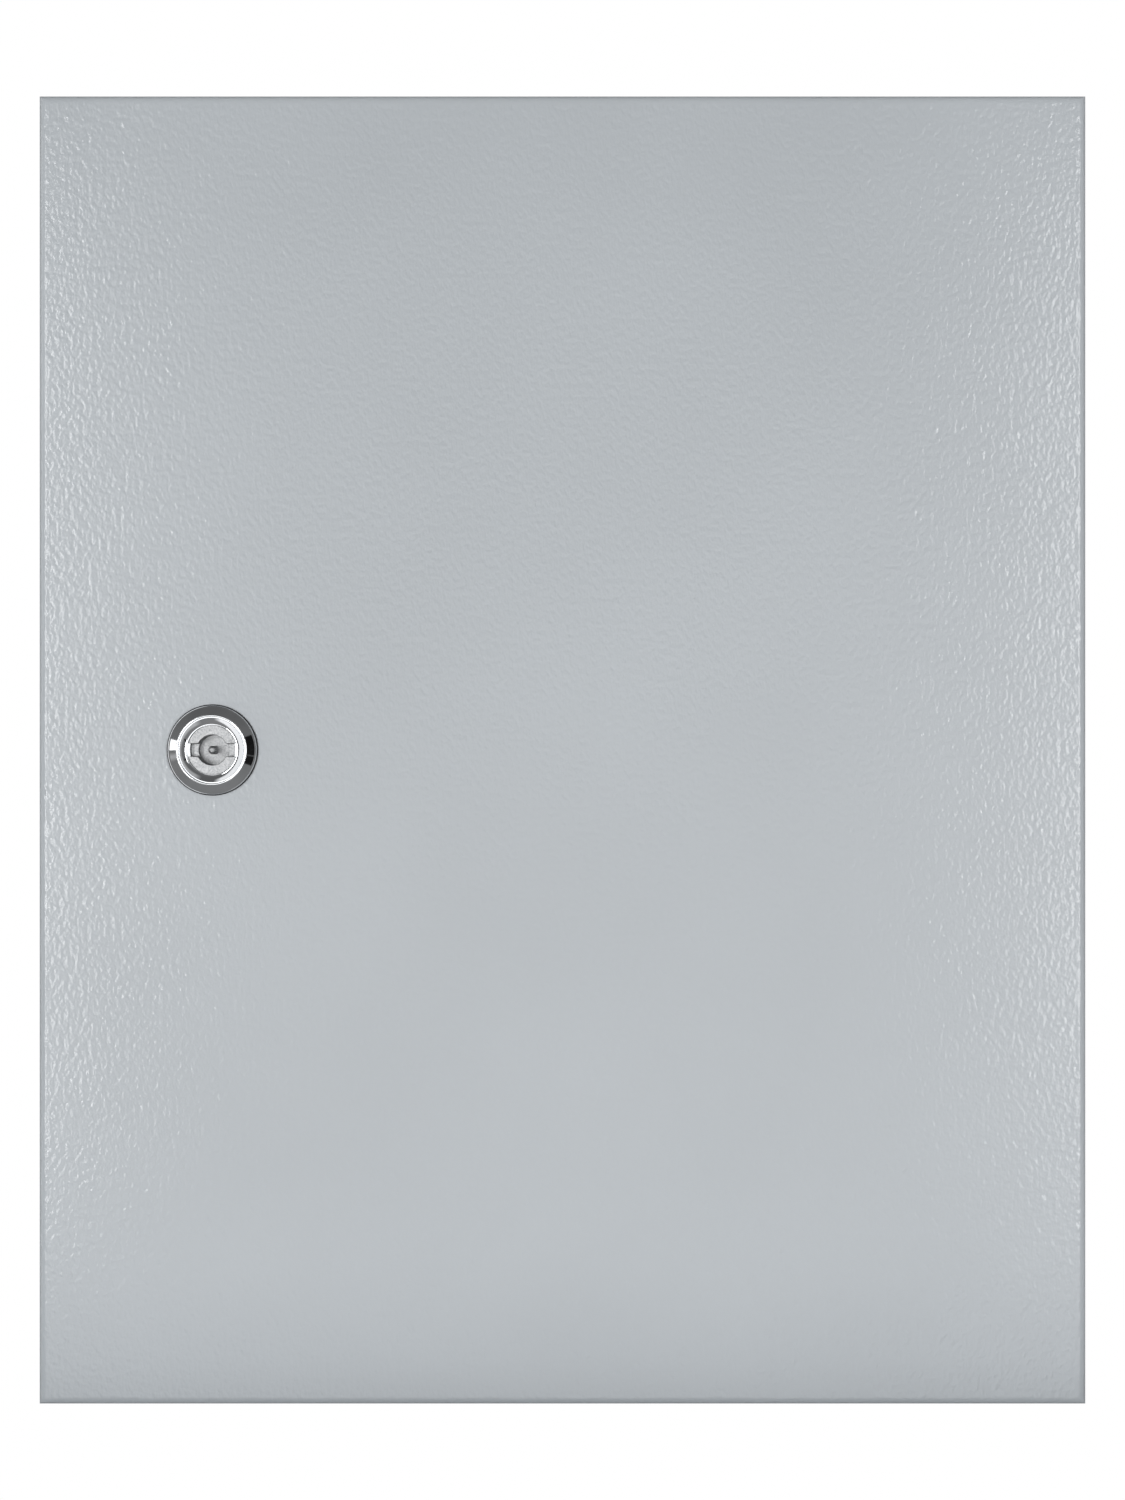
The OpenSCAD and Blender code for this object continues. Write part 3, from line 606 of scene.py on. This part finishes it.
def softCopy(name, node, width, segments=2, limit=30):
    # the node's own shape with its hard edges eased
    source = frame["nodes"][node]
    mesh = source.data.copy()
    mesh.name = name
    work = bmesh.new()
    work.from_mesh(mesh)
    bmesh.ops.remove_doubles(work, verts=work.verts, dist=1e-6)
    bmesh.ops.dissolve_limit(work, angle_limit=math.radians(0.6), verts=work.verts, edges=work.edges)
    work.to_mesh(mesh)
    work.free()
    piece = addPiece(name, mesh, node, [node])
    ease = piece.modifiers.new("ease", "BEVEL")
    ease.width = width * mm
    ease.segments = segments
    ease.limit_method = "ANGLE"
    ease.angle_limit = math.radians(limit)
    settle(piece, 20)
    return piece


def wander(count, seed, waves=9):
    # a closed line of gentle unevenness, -1..1: sines of rising pace with seeded phases
    draw = np.random.default_rng(seed)
    s = np.linspace(0, 2 * math.pi, count, endpoint=False)
    total = sum(np.sin(s * (k * 3 + 1) + draw.uniform(0, 6.28)) / (1 + 0.3 * k) for k in range(waves))
    return total / np.abs(total).max()


# the case and its back panel
caseLow, caseHigh = nodeBox("case_wrap")
backLow, backHigh = nodeBox("back_panel")
doorLow, doorHigh = nodeBox("door_panel")
glandLow, glandHigh = nodeBox("gland_gasket")
case = {
    "halfW": caseHigh[0], "halfH": caseHigh[2], "sheet": 1.5, "bend": 2.7, "corner": 3.2,
    "lipInset": 28.0, "lipCorner": 10.0, "rear": caseHigh[1], "lipFront": caseLow[1],
    "flange": doorHigh[1] + 3.5, "rim": 18.0, "cutCorner": 5.0,
}


def caseShell():
    # one closed profile carried round the case: rear edge, side, front bend, flange, lip, and
    # back along the inside
    c = case
    bendIn, flange = c["bend"] - c["sheet"], c["flange"]
    inFlange = flange + c["sheet"]
    profile = [(0, c["rear"]), (0, c["rear"] - 6), (0, flange + c["bend"] + 6)]
    profile += arc((c["bend"], flange + c["bend"]), c["bend"], 180, 270, 7)
    profile += [(c["bend"] + 0.6, flange), (c["lipInset"] - bendIn - 0.6, flange)]
    profile += arc((c["lipInset"] - bendIn, flange - bendIn), bendIn, 90, 0, 6)
    profile += [(c["lipInset"], c["lipFront"] + 0.3), (c["lipInset"] + 0.3, c["lipFront"])]
    inside = c["lipInset"] + c["sheet"]
    profile += [(inside - 0.3, c["lipFront"]), (inside, c["lipFront"] + 0.3)]
    profile += arc((c["lipInset"] - bendIn, flange - bendIn), c["bend"], 0, 90, 8)
    profile += [(c["lipInset"] - bendIn - 0.6, inFlange), (c["bend"] + 0.6, inFlange)]
    profile += arc((c["bend"], flange + c["bend"]), bendIn, 270, 180, 6)
    profile += [(c["sheet"], flange + c["bend"] + 6), (c["sheet"], c["rear"])]
    rings = []
    for inset, y in profile:
        middle = (c["bend"] + c["lipInset"]) / 2
        radius = c["corner"] - inset if inset < middle else c["lipCorner"] + c["lipInset"] - inset
        rings.append((c["halfW"] - inset, c["halfH"] - inset, max(radius, 0.2), y))
    return ringShell(rings, cornerSteps=8, sideSteps=3)


def cableCut():
    # the rounded hole in the bottom, a sheet thick and a little more
    low, high = glandLow + case["rim"], glandHigh - case["rim"]
    halfX, halfY = (high[0] - low[0]) / 2, (high[1] - low[1]) / 2
    middleY = (high[1] + low[1]) / 2
    ring = frameRing(halfX, halfY, case["cutCorner"], 0)
    foot = np.stack([ring[:, 0], ring[:, 2] + middleY, np.full(len(ring), -case["halfH"] - 2)], -1)
    head = foot + (0, 0, 5.0)
    count = len(ring)
    ends = [list(range(count)), list(range(count, 2 * count))]
    return np.concatenate([foot, head]), [list(f) for f in gridFaces(2, count)] + ends


caseBody = makePiece("case_body", [caseShell()], "case_wrap", replaced=["case_wrap"])
cutAway(caseBody, [cableCut()])
print("case folded")


def weldBead(start, end, side, lift, width, height, seed):
    # a ripple-topped bead: half an ellipse carried from start to end, drawn in at both ends,
    # its height swelling once every ripple; side and lift are the directions across and out
    start, end, side, lift = (np.array(v, float) for v in (start, end, side, lift))
    length = np.linalg.norm(end - start)
    rows = max(int(length / 0.45), 12)
    t = np.linspace(0, 1, rows)
    taper = np.sqrt(np.clip(1 - np.abs(2 * t - 1) ** (length / width), 0, 1)) * 0.98 + 0.02
    ripple = 1 + 0.16 * np.cos(2 * math.pi * t * length / 1.7) + 0.06 * np.sin(9 * t + seed)
    a = np.linspace(0, 2 * math.pi, 10, endpoint=False)
    across = np.cos(a)[None, :] * width / 2 * taper[:, None]
    up = np.sin(a)[None, :] * np.where(np.sin(a) > 0, height, height * 0.6)[None, :]
    up = up * (taper * ripple)[:, None]
    line = start + (end - start) * t[:, None]
    points = line[:, None, :] + across[..., None] * side + up[..., None] * lift
    count = points.shape[0] * 10
    ends = [list(range(10)), list(range(count - 10, count))]
    return points, [list(f) for f in gridFaces(rows, 10)] + ends


seam = {"width": 2.6, "height": 0.35, "outer": 3.2, "inner": 4.6}
stitch = {"half": 11, "width": 2.8, "height": 0.95, "sunk": 3.55, "groove": 1.15, "clear": 28,
          "up": 5, "across": 4}


def caseWelds():
    # mitre seams over the flange's four corners and short stitches along the rear edge
    c, shells = case, []
    diagonal = math.sqrt(0.5)
    for sx in (1, -1):
        for sz in (1, -1):
            away = seam["outer"]
            outer = np.array([sx * (c["halfW"] - away), c["flange"], sz * (c["halfH"] - away)])
            reach = c["lipInset"] + 0.3 * c["lipCorner"] - seam["inner"]
            inner = outer - (sx * reach, 0, sz * reach)
            across = (sx * diagonal, 0, -sz * diagonal)
            shells.append(weldBead(outer, inner, across, (0, -1, 0),
                                   seam["width"], seam["height"], sx + 2 * sz))
    inset, y = c["sheet"] + stitch["groove"], backHigh[1] - stitch["sunk"]
    for sign in (1, -1):
        x, z = sign * (c["halfW"] - inset), sign * (c["halfH"] - inset)
        for k in np.linspace(-1, 1, stitch["up"]):
            low, high = k * (c["halfH"] - stitch["clear"]) + np.array([-1, 1]) * stitch["half"]
            shells.append(weldBead((x, y, low), (x, y, high), (sign, 0, 0), (0, 1, 0),
                                   stitch["width"], stitch["height"], k))
        for k in np.linspace(-1, 1, stitch["across"]):
            low, high = k * (c["halfW"] - stitch["clear"]) + np.array([-1, 1]) * stitch["half"]
            shells.append(weldBead((low, y, z), (high, y, z), (0, 0, sign), (0, 1, 0),
                                   stitch["width"], stitch["height"], k))
    return shells


makePiece("case_weld_seams", caseWelds(), "case_wrap", replaced=[])

back = {"bend": 2.7, "sheet": 1.5, "depth": 14.0, "padR": 11.0, "padH": 2.5, "slope": 2.5, "hole": 4.25,
        "fixX": 175.0, "fixZ": 225.0, "spread": 15.2, "step": 0.95, "coarse": 7, "cut": (-4.5, 1.5)}


def linesFor(half, dense, spread, step, coarse):
    # grid lines from -half to half: coarse all over, close where the pads are
    fine = np.arange(dense - spread, dense + spread + step / 2, step)
    lines = np.concatenate([np.linspace(-half, half, coarse), fine, -fine, [half - 0.5, 0.5 - half]])
    lines = np.unique(np.round(lines[np.abs(lines) <= half], 3))
    closest = 0.25
    keep = np.concatenate([[True], np.diff(lines) > closest])
    keep[-1] = True
    if lines[-1] - lines[-2] <= closest:
        keep[-2] = False
    return lines[keep]


def padRelief(x, z):
    # four pressed pads: flat on top, with a slope eased at both ends
    away = np.hypot(np.abs(x) - back["fixX"], np.abs(z) - back["fixZ"])
    t = np.clip((back["padR"] + back["slope"] + 0.4 - away) / (back["slope"] + 0.8), 0, 1)
    return back["padH"] * t * t * (3 - 2 * t)


def boreCutter(x, z, radius, y0, y1, steps=40):
    return facing(turned([(radius, y0), (radius, y1)], steps, loop=False), x, z)


halfW, halfH = backHigh[0], backHigh[2]
xs = linesFor(halfW - back["bend"], back["fixX"], back["spread"], back["step"], back["coarse"])
zs = linesFor(halfH - back["bend"], back["fixZ"], back["spread"], back["step"], back["coarse"])
pressed = trayShell(halfW, halfH, back, xs, zs, case["rear"], -1, padRelief)
backPlate = makePiece("back_plate", [pressed], "back_panel")
cutAway(backPlate, [boreCutter(sx * back["fixX"], sz * back["fixZ"], back["hole"], *back["cut"])
                    for sx in (1, -1) for sz in (1, -1)])
print("back panel pressed")


# the door, its seal and its rails
door = {"bend": 2.7, "sheet": 1.5, "depth": doorHigh[1] - doorLow[1], "notch": 24.5,
        "barrel": 11.25, "flat": 10.25}
knuckleLow, knuckleHigh = nodeBox("door_knuckle_upper")
hingeZ = (knuckleLow[2] + knuckleHigh[2]) / 2


def blockCutter(low, high):
    corners = np.array([(x, y, z) for x in (low[0], high[0])
                        for y in (low[1], high[1]) for z in (low[2], high[2])])
    return corners, [[0, 1, 3, 2], [4, 6, 7, 5], [0, 4, 5, 1], [2, 3, 7, 6], [0, 2, 6, 4], [1, 5, 7, 3]]


def doorShell():
    flatX = np.array([1, 1 - 0.003, 0.6, 0.2]) * (doorHigh[0] - door["bend"])
    flatZ = np.array([1, 1 - 0.0025, 0.7, 0.35]) * (doorHigh[2] - door["bend"])
    xs = np.concatenate([-flatX, flatX[::-1]])
    zs = np.concatenate([-flatZ, flatZ[::-1]])
    return trayShell(doorHigh[0], doorHigh[2], door, xs, zs, doorLow[1], 1)


def lockHole():
    # a round hole with two flats, through the door's sheet
    def twoFlats(a, r, h):
        return np.minimum(r, door["flat"] / np.maximum(np.abs(np.cos(a)), 1e-6)), h

    through = [(door["barrel"], doorLow[1] - 2), (door["barrel"], doorLow[1] + 4)]
    return facing(turned(through, 64, twoFlats, False), lockCentre[0], lockCentre[2])


doorLeaf = makePiece("door_leaf", [doorShell()], "door_panel")
notches = [blockCutter((doorHigh[0] - 2.0, doorLow[1] + door["bend"], side * hingeZ - door["notch"]),
                       (doorHigh[0] + 1.0, doorHigh[1] + 1.0, side * hingeZ + door["notch"]))
           for side in (1, -1)]
cutAway(doorLeaf, notches + [lockHole()])
print("door folded")

sealLow, sealHigh = nodeBox("door_seal")
seal = {"width": 12.0, "height": sealHigh[1] - sealLow[1], "line": 28.75, "corner": 9.25, "dent": 0.35}


def sealBead():
    # a low dome on a flat foot, carried round the door, with a faint groove where the lip
    # presses; its height and width wander along the line as poured foam does
    s = seal
    u = np.linspace(-1, 1, 25)
    dome = (1 - np.abs(u) ** 2.6) ** 0.62
    groove = s["dent"] * np.exp(-(u * s["width"] / 2 / 1.1) ** 2)
    height = np.maximum(dome * s["height"] - groove, 0.0)
    across = np.concatenate([u * s["width"] / 2, [s["width"] / 2 - 0.4, 0, 0.4 - s["width"] / 2]])
    up = np.concatenate([height + 0.05, [0.0, 0.0, 0.0]])
    rings = []
    for a, h in zip(across, up):
        halfX, halfZ = doorHigh[0] - s["line"] + a, doorHigh[2] - s["line"] + a
        rings.append((halfX, halfZ, s["corner"] + a, sealLow[1] + h))
    points, faces = ringShell(rings, cornerSteps=14, sideSteps=150)
    count = points.shape[1]
    lift = (points[..., 1] - sealLow[1]) / s["height"]
    points[..., 1] -= lift * (0.16 + 0.16 * wander(count, 4))[None, :]
    return points, faces


drop = {"wide": 4.6, "tall": 11.0, "crown": 1.15, "sunk": 1.25, "up": 96, "lumps": 0.06}


def sealJoin():
    # the bead's overlap, where the pour began and ended: a flattened drop on the crown
    s = seal
    a = np.linspace(0, 2 * math.pi, 28, endpoint=False)
    t = np.linspace(0, math.pi, 12)
    t, a = np.meshgrid(t, a, indexing="ij")
    lumpy = 1 + drop["lumps"] * np.sin(3 * a)
    x = doorLow[0] + s["line"] + drop["wide"] * np.sin(t) * np.cos(a) * lumpy
    z = doorLow[2] + drop["up"] + drop["tall"] * np.sin(t) * np.sin(a)
    rise = drop["crown"] * np.cos(t) * np.where(t < math.pi / 2, 1, 2.5)
    y = sealLow[1] + s["height"] - drop["sunk"] + rise
    points = np.stack([x, y, z], -1)
    return points, gridFaces(*points.shape[:2])


makePiece("seal_bead", [sealBead(), sealJoin()], "door_seal", sharp=60)
for side in ("left", "right"):
    softCopy("rail_" + side, "door_rail_" + side, 0.25)


spot = {"count": 7, "end": 20, "half": 5, "out": 0.35, "up": 0.25, "width": 2.2, "height": 0.8}


def railWelds():
    # evenly spaced spots of weld along both feet of both rails
    shells = []
    for side in ("left", "right"):
        low, high = nodeBox("door_rail_" + side)
        for x, out in ((low[0], -1), (high[0], 1)):
            x, y = x + out * spot["out"], low[1] + spot["up"]
            for z in np.linspace(low[2] + spot["end"], high[2] - spot["end"], spot["count"]):
                foot, head = (x, y, z - spot["half"]), (x, y, z + spot["half"])
                shells.append(weldBead(foot, head, (out * 0.7, -0.7, 0), (out * 0.7, 0.7, 0),
                                       spot["width"], spot["height"], z))
    return shells


makePiece("rail_welds", railWelds(), "door_rail_left", replaced=[])
print("seal poured and rails welded")


# the lock: its barrel's lugs stop the tab of the disc that turns
housingLow, housingHigh = nodeBox("lock_housing")
bezel = {"radius": 17.0, "land": 13.0, "bore": 8.76, "recess": 9.6, "barrel": 11.0, "flat": 10.0,
         "pitch": 1.5, "threadDepth": 0.75, "back": -180.0, "front": housingLow[1],
         "base": nodeBox("lock_seal")[0][1]}


def bezelShell():
    # the turned bezel and its threaded barrel in one closed profile; the thread is a ridge that
    # climbs one pitch a turn, and the barrel's sides are cut to two flats
    b = bezel
    face = lockLow[1]
    base, top, r = b["base"], b["front"], b["radius"]
    wellIn, wellLow = b["recess"] + 0.62, face - 0.14
    wellOut, wellHigh = b["land"] - 0.78, top + 0.42
    front = [(b["bore"], base + 0.2), (b["recess"], base + 0.2), (b["recess"], face + 0.05),
             (b["recess"] + 0.1, face - 0.08), (wellIn, wellLow)]
    slope = np.linspace(0, 1, 9)[1:]
    wellR = wellIn + (wellOut - wellIn) * slope
    wellY = wellLow + (wellHigh - wellLow) * (0.9 * slope + 0.1 * slope ** 2)
    front += list(zip(wellR, wellY))
    front += [(b["land"] - 0.74, top + 0.44), (b["land"] - 0.71, top + 0.5), (b["land"] - 0.7, top + 1.5),
              (b["land"] - 0.34, top + 1.5), (b["land"] - 0.32, top + 0.3), (b["land"] - 0.3, top + 0.2)]
    crown = np.linspace(-1, 1, 11)
    front += [(b["land"] + 0.08 + 0.36 * u, top + 0.13 * (1 - math.sqrt(1 - 0.96 * u * u)) / 0.8)
              for u in crown]
    rim = np.linspace(0.08, 0.94, 9)
    front += [(b["land"] + 0.34 + (r - 0.5 - b["land"] - 0.34) * t, top + 0.06 + (base - 1.36 - top) * t)
              for t in rim]
    front += [(r - 0.42, base - 1.32), (r - 0.16, base - 1.16), (r - 0.04, base - 0.95), (r, base - 0.7),
              (r, base - 0.15), (r - 0.15, base), (b["barrel"] + 0.4, base), (b["barrel"], base + 0.2)]
    thread = np.arange(base + 3.2, b["back"] - 0.6, b["pitch"] / 6)
    plain = [(b["barrel"], base + 1.2), (b["barrel"], base + 3.0)]
    tail = [(b["barrel"] - 0.1, b["back"] - 0.55), (b["barrel"] - 0.6, b["back"]),
            (b["bore"] + 0.3, b["back"]), (b["bore"], b["back"] - 0.3)]
    profile = np.array(front + plain + [(b["barrel"], y) for y in thread] + tail)
    first = len(front) + len(plain)
    onBarrel = np.zeros(len(profile), bool)
    onBarrel[len(front) - 1:first + len(thread) + 2] = True
    onThread = np.zeros(len(profile), bool)
    onThread[first:first + len(thread)] = True

    def shape(a, radius, y):
        climb = (y / b["pitch"] - a / (2 * math.pi)) % 1
        ridge = np.abs(climb * 2 - 1)
        radius = radius - onThread[:, None] * b["threadDepth"] * (1 - ridge)
        flat = b["flat"] / np.maximum(np.abs(np.cos(a)), 1e-6)
        return np.where(onBarrel[:, None], np.minimum(radius, flat), radius), y

    return facing(turned(profile, 144, shape), lockCentre[0], lockCentre[2])


def ringBlock(r0, r1, a0, a1, y0, y1, steps=8):
    # a block that is part of a ring round the lock's axis
    a = np.radians(np.linspace(a0, a1, steps + 1))
    section = [(r0, y0), (r1, y0), (r1, y1), (r0, y1)]
    radii, depths = np.array(section).T
    points = np.stack([lockCentre[0] + radii * np.cos(a)[:, None], np.tile(depths, (steps + 1, 1)),
                       lockCentre[2] + radii * np.sin(a)[:, None]], -1)
    count = points.shape[0] * 4
    faces = [list(f) for f in gridFaces(steps + 1, 4)] + [[0, 1, 2, 3], list(range(count - 4, count))]
    return points, faces


lugs = [ringBlock(9.5, 10.7, 108, 129, bezel["back"] - 0.4, housingHigh[1]),
        ringBlock(9.5, 10.3, -39, -19, bezel["back"] - 0.4, housingHigh[1])]
makePiece("lock_bezel", [bezelShell()] + lugs, "lock_housing", sharp=32)
softCopy("lock_core_casting", "lock_insert", 0.16, 2)
softCopy("lock_cam_plate", "lock_cam", 0.3)
softCopy("lock_stop_plate", "lock_stop_disc", 0.12)
print("lock turned")


# fasteners, each fitted to the solids of its node
def hexNut(af, height, bore, closed=False):
    # a hexagon whose corners are cut back by a cone at both ends
    land = af / 2 * 0.96

    def shape(a, r, h):
        hexR = af / 2 / np.cos((a + math.pi / 6) % (math.pi / 3) - math.pi / 6)
        side = r < 0
        lean = (hexR - land) * 0.55
        high = side & (h > height / 2)
        low = side & (h <= height / 2)
        return np.where(side, hexR, r), h - np.where(high, lean, 0) + np.where(low, lean, 0)

    inner = [] if closed else [(bore / 2, height - 0.45), (bore / 2 + 0.45, height)]
    bottom = [] if closed else [(bore / 2 + 0.45, 0), (bore / 2, 0.45)]
    profile = inner + [(land, height), (-1, height), (-1, 0.0), (land, 0)] + bottom
    return turned(profile, 48, shape, loop=not closed)


def ringWasher(outer, bore, thick):
    e = 0.12
    inner, outer = bore / 2, outer / 2
    return turned([(inner, e), (inner + e, 0), (outer - 2 * e, 0), (outer, 2 * e), (outer, thick - 2 * e),
                   (outer - 2 * e, thick), (inner + e, thick), (inner, thick - e)], 48)


def threadedRod(diameter, pitch, length, plain=0.0):
    # a rod whose radius falls and rises once a pitch, climbing one pitch a turn
    heights = np.arange(plain, length - 0.7 - 1e-4, pitch / 5)
    profile = np.array([(diameter / 2, 0.0)] + [(diameter / 2, h) for h in heights]
                       + [(diameter / 2 - 0.15, length - 0.6), (diameter / 2 - 0.75, length)])

    def shape(a, r, h):
        ridge = np.abs((h / pitch - a / (2 * math.pi)) % 1 * 2 - 1)
        threaded = (h >= plain) & (h < length - 0.65) & (h > 0)
        return r - threaded * pitch * 0.5 * (1 - ridge), h

    return turned(profile, 24, shape, loop=False)


def panScrew(headR, headH, socket, deep):
    # a domed head with a hexagon socket, its axis up
    def shape(a, r, h):
        hexR = socket / 2 / np.cos((a + math.pi / 6) % (math.pi / 3) - math.pi / 6)
        return np.where(r < 0, hexR, r), h

    profile = [(2.45, 0), (headR - 0.15, 0), (headR, 0.3)]
    dome = np.linspace(0.12, 1, 6)
    profile += [(headR * np.cos(d * 1.05) * 0.98 + 0.02 * headR,
                 0.3 + (headH - 0.3) * np.sin(d * 1.35) / np.sin(1.35)) for d in dome]
    profile += [(-1, headH), (-1, headH - deep)]
    return turned(profile, 48, shape, loop=False)


def solidsOf(node):
    # boxes of a node's separate solids, in millimetres: a label runs along the edges until each
    # solid has one of its own
    work = bmesh.new()
    work.from_mesh(frame["nodes"][node].data)
    bmesh.ops.remove_doubles(work, verts=work.verts, dist=1e-6)
    mesh = bpy.data.meshes.new("solids")
    work.to_mesh(mesh)
    work.free()
    points = np.empty(len(mesh.vertices) * 3, np.float32)
    ends = np.empty(len(mesh.edges) * 2, np.int32)
    mesh.vertices.foreach_get("co", points)
    mesh.edges.foreach_get("vertices", ends)
    points, ends = (points / np.float32(mm)).reshape(-1, 3).astype(float), ends.reshape(-1, 2)
    label, before = np.arange(len(points)), None
    while not np.array_equal(label, before):
        before = label.copy()
        lowest = before[ends].min(1)
        np.minimum.at(label, ends[:, 0], lowest)
        np.minimum.at(label, ends[:, 1], lowest)
        label = label[label]
    boxes = [(points[label == k].min(0), points[label == k].max(0)) for k in np.unique(label)]
    bpy.data.meshes.remove(mesh)
    return sorted(boxes, key=lambda b: tuple(np.round(b[0], 2)))


def fitAll(name, node, axis, build, sharp=35):
    # one shell, built to the length, on each of the node's solids, standing on the end its axis
    # starts from
    along = 2 if axis == "+z" else 1
    shells = []
    for low, high in solidsOf(node):
        middle = (low + high) / 2
        middle[along] = high[along] if axis == "-y" else low[along]
        shells.append(placed(build(high[along] - low[along]), middle, axis))
    return makePiece(name, shells, node, sharp)


# diameter and pitch of each thread, across the flats of its nut, and how loose the nut's bore is
threads = {"m4": (4.0, 0.7), "m5": (5.0, 0.8), "m6": (6.0, 1.0), "m8": (8.0, 1.25)}
flats = {"m4": 7.0, "m5": 8.0, "m6": 10.0, "m8": 13.0}
boreGap = 0.04


def rodOf(size):
    return lambda length: threadedRod(*threads[size], length)


def nutOf(size):
    return lambda length: hexNut(flats[size], length, threads[size][0] + boreGap)


def washerOf(outer, bore):
    return lambda length: ringWasher(outer, bore, length)


fitAll("plate_stud_threads", "plate_studs", "-y", rodOf("m8"))
fitAll("plate_spacer_tubes", "plate_spacers", "-y", washerOf(16.0, 8.5))
fitAll("plate_washer_rings", "plate_washers", "-y", washerOf(16.0, 8.5))
fitAll("plate_hex_nuts", "plate_nuts", "-y", nutOf("m8"))
fitAll("gland_stud_threads", "gland_studs", "+z", rodOf("m6"))
fitAll("case_earth_thread", "case_earth_stud", "+z", rodOf("m6"))
fitAll("case_earth_hex_nut", "case_earth_nut", "+z", nutOf("m6"))
fitAll("door_earth_thread", "door_earth_stud", "+y", rodOf("m6"))
fitAll("door_earth_hex_nut", "door_earth_nut", "+y", nutOf("m6"))
fitAll("knuckle_stud_threads", "knuckle_studs", "+y", rodOf("m4"))
fitAll("knuckle_hex_nuts", "knuckle_nuts", "+y", nutOf("m4"))
fitAll("lock_hex_nut", "lock_nut", "+y", lambda length: hexNut(27.0, length, 22.2))
fitAll("lock_washer_ring", "lock_washer", "+y", washerOf(29.0, 22.5))
for place in ("upper", "lower"):
    fitAll("hinge_hex_nuts_" + place, "hinge_nuts_" + place, "+y", nutOf("m5"))
    softCopy("hinge_plate_" + place, "hinge_bracket_" + place, 0.35)
    softCopy("hinge_knuckle_" + place, "door_knuckle_" + place, 0.35)
    softCopy("hinge_rod_" + place, "hinge_pin_" + place, 0.25)

glandNut = {"flange": 13.0, "flangeH": 1.2, "seat": 1.0}


def flangeNut(length):
    # a nut standing in its own washer
    points, faces = hexNut(flats["m6"], length - glandNut["seat"], threads["m6"][0] + boreGap)
    washer = ringWasher(glandNut["flange"], threads["m6"][0] + boreGap, glandNut["flangeH"])
    return joined([washer, (points + (0, 0, glandNut["seat"]), faces)])


fitAll("gland_flange_nuts", "gland_nuts", "+z", flangeNut)


def bolt(head, headH, thread, pitch, length, overlap):
    # the head on top, and the shank upside down below it
    under = length - headH
    points, faces = threadedRod(thread, pitch, under + overlap)
    shank = points.reshape(-1, 3) * (1, 1, -1) + (0, 0, under + overlap)
    return joined([(head[0].reshape(-1, 3) + (0, 0, under), head[1]), (shank, faces)])


screw = {"headR": 4.6, "headH": 2.6, "socket": 3.0, "deep": 1.4, "overlap": 0.1}
camBolt = {"headH": 4.0, "across": 10.0, "shank": 5.8, "pitch": 1.0, "overlap": 0.2}


def hingeScrew(length):
    head = panScrew(screw["headR"], screw["headH"], screw["socket"], screw["deep"])
    return bolt(head, screw["headH"], *threads["m5"], length, screw["overlap"])


def camScrew(length):
    c = camBolt
    head = hexNut(c["across"], c["headH"], 0.0, closed=True)
    return bolt(head, c["headH"], c["shank"], c["pitch"], length, c["overlap"])


for place in ("upper", "lower"):
    fitAll("hinge_pan_screws_" + place, "hinge_screws_" + place, "-y", hingeScrew)
fitAll("cam_hex_bolt", "cam_screw", "+y", camScrew)
softCopy("plate_panel", "mounting_plate", 0.25)
softCopy("gland_cover", "gland_plate", 0.2)
print("fasteners fitted")
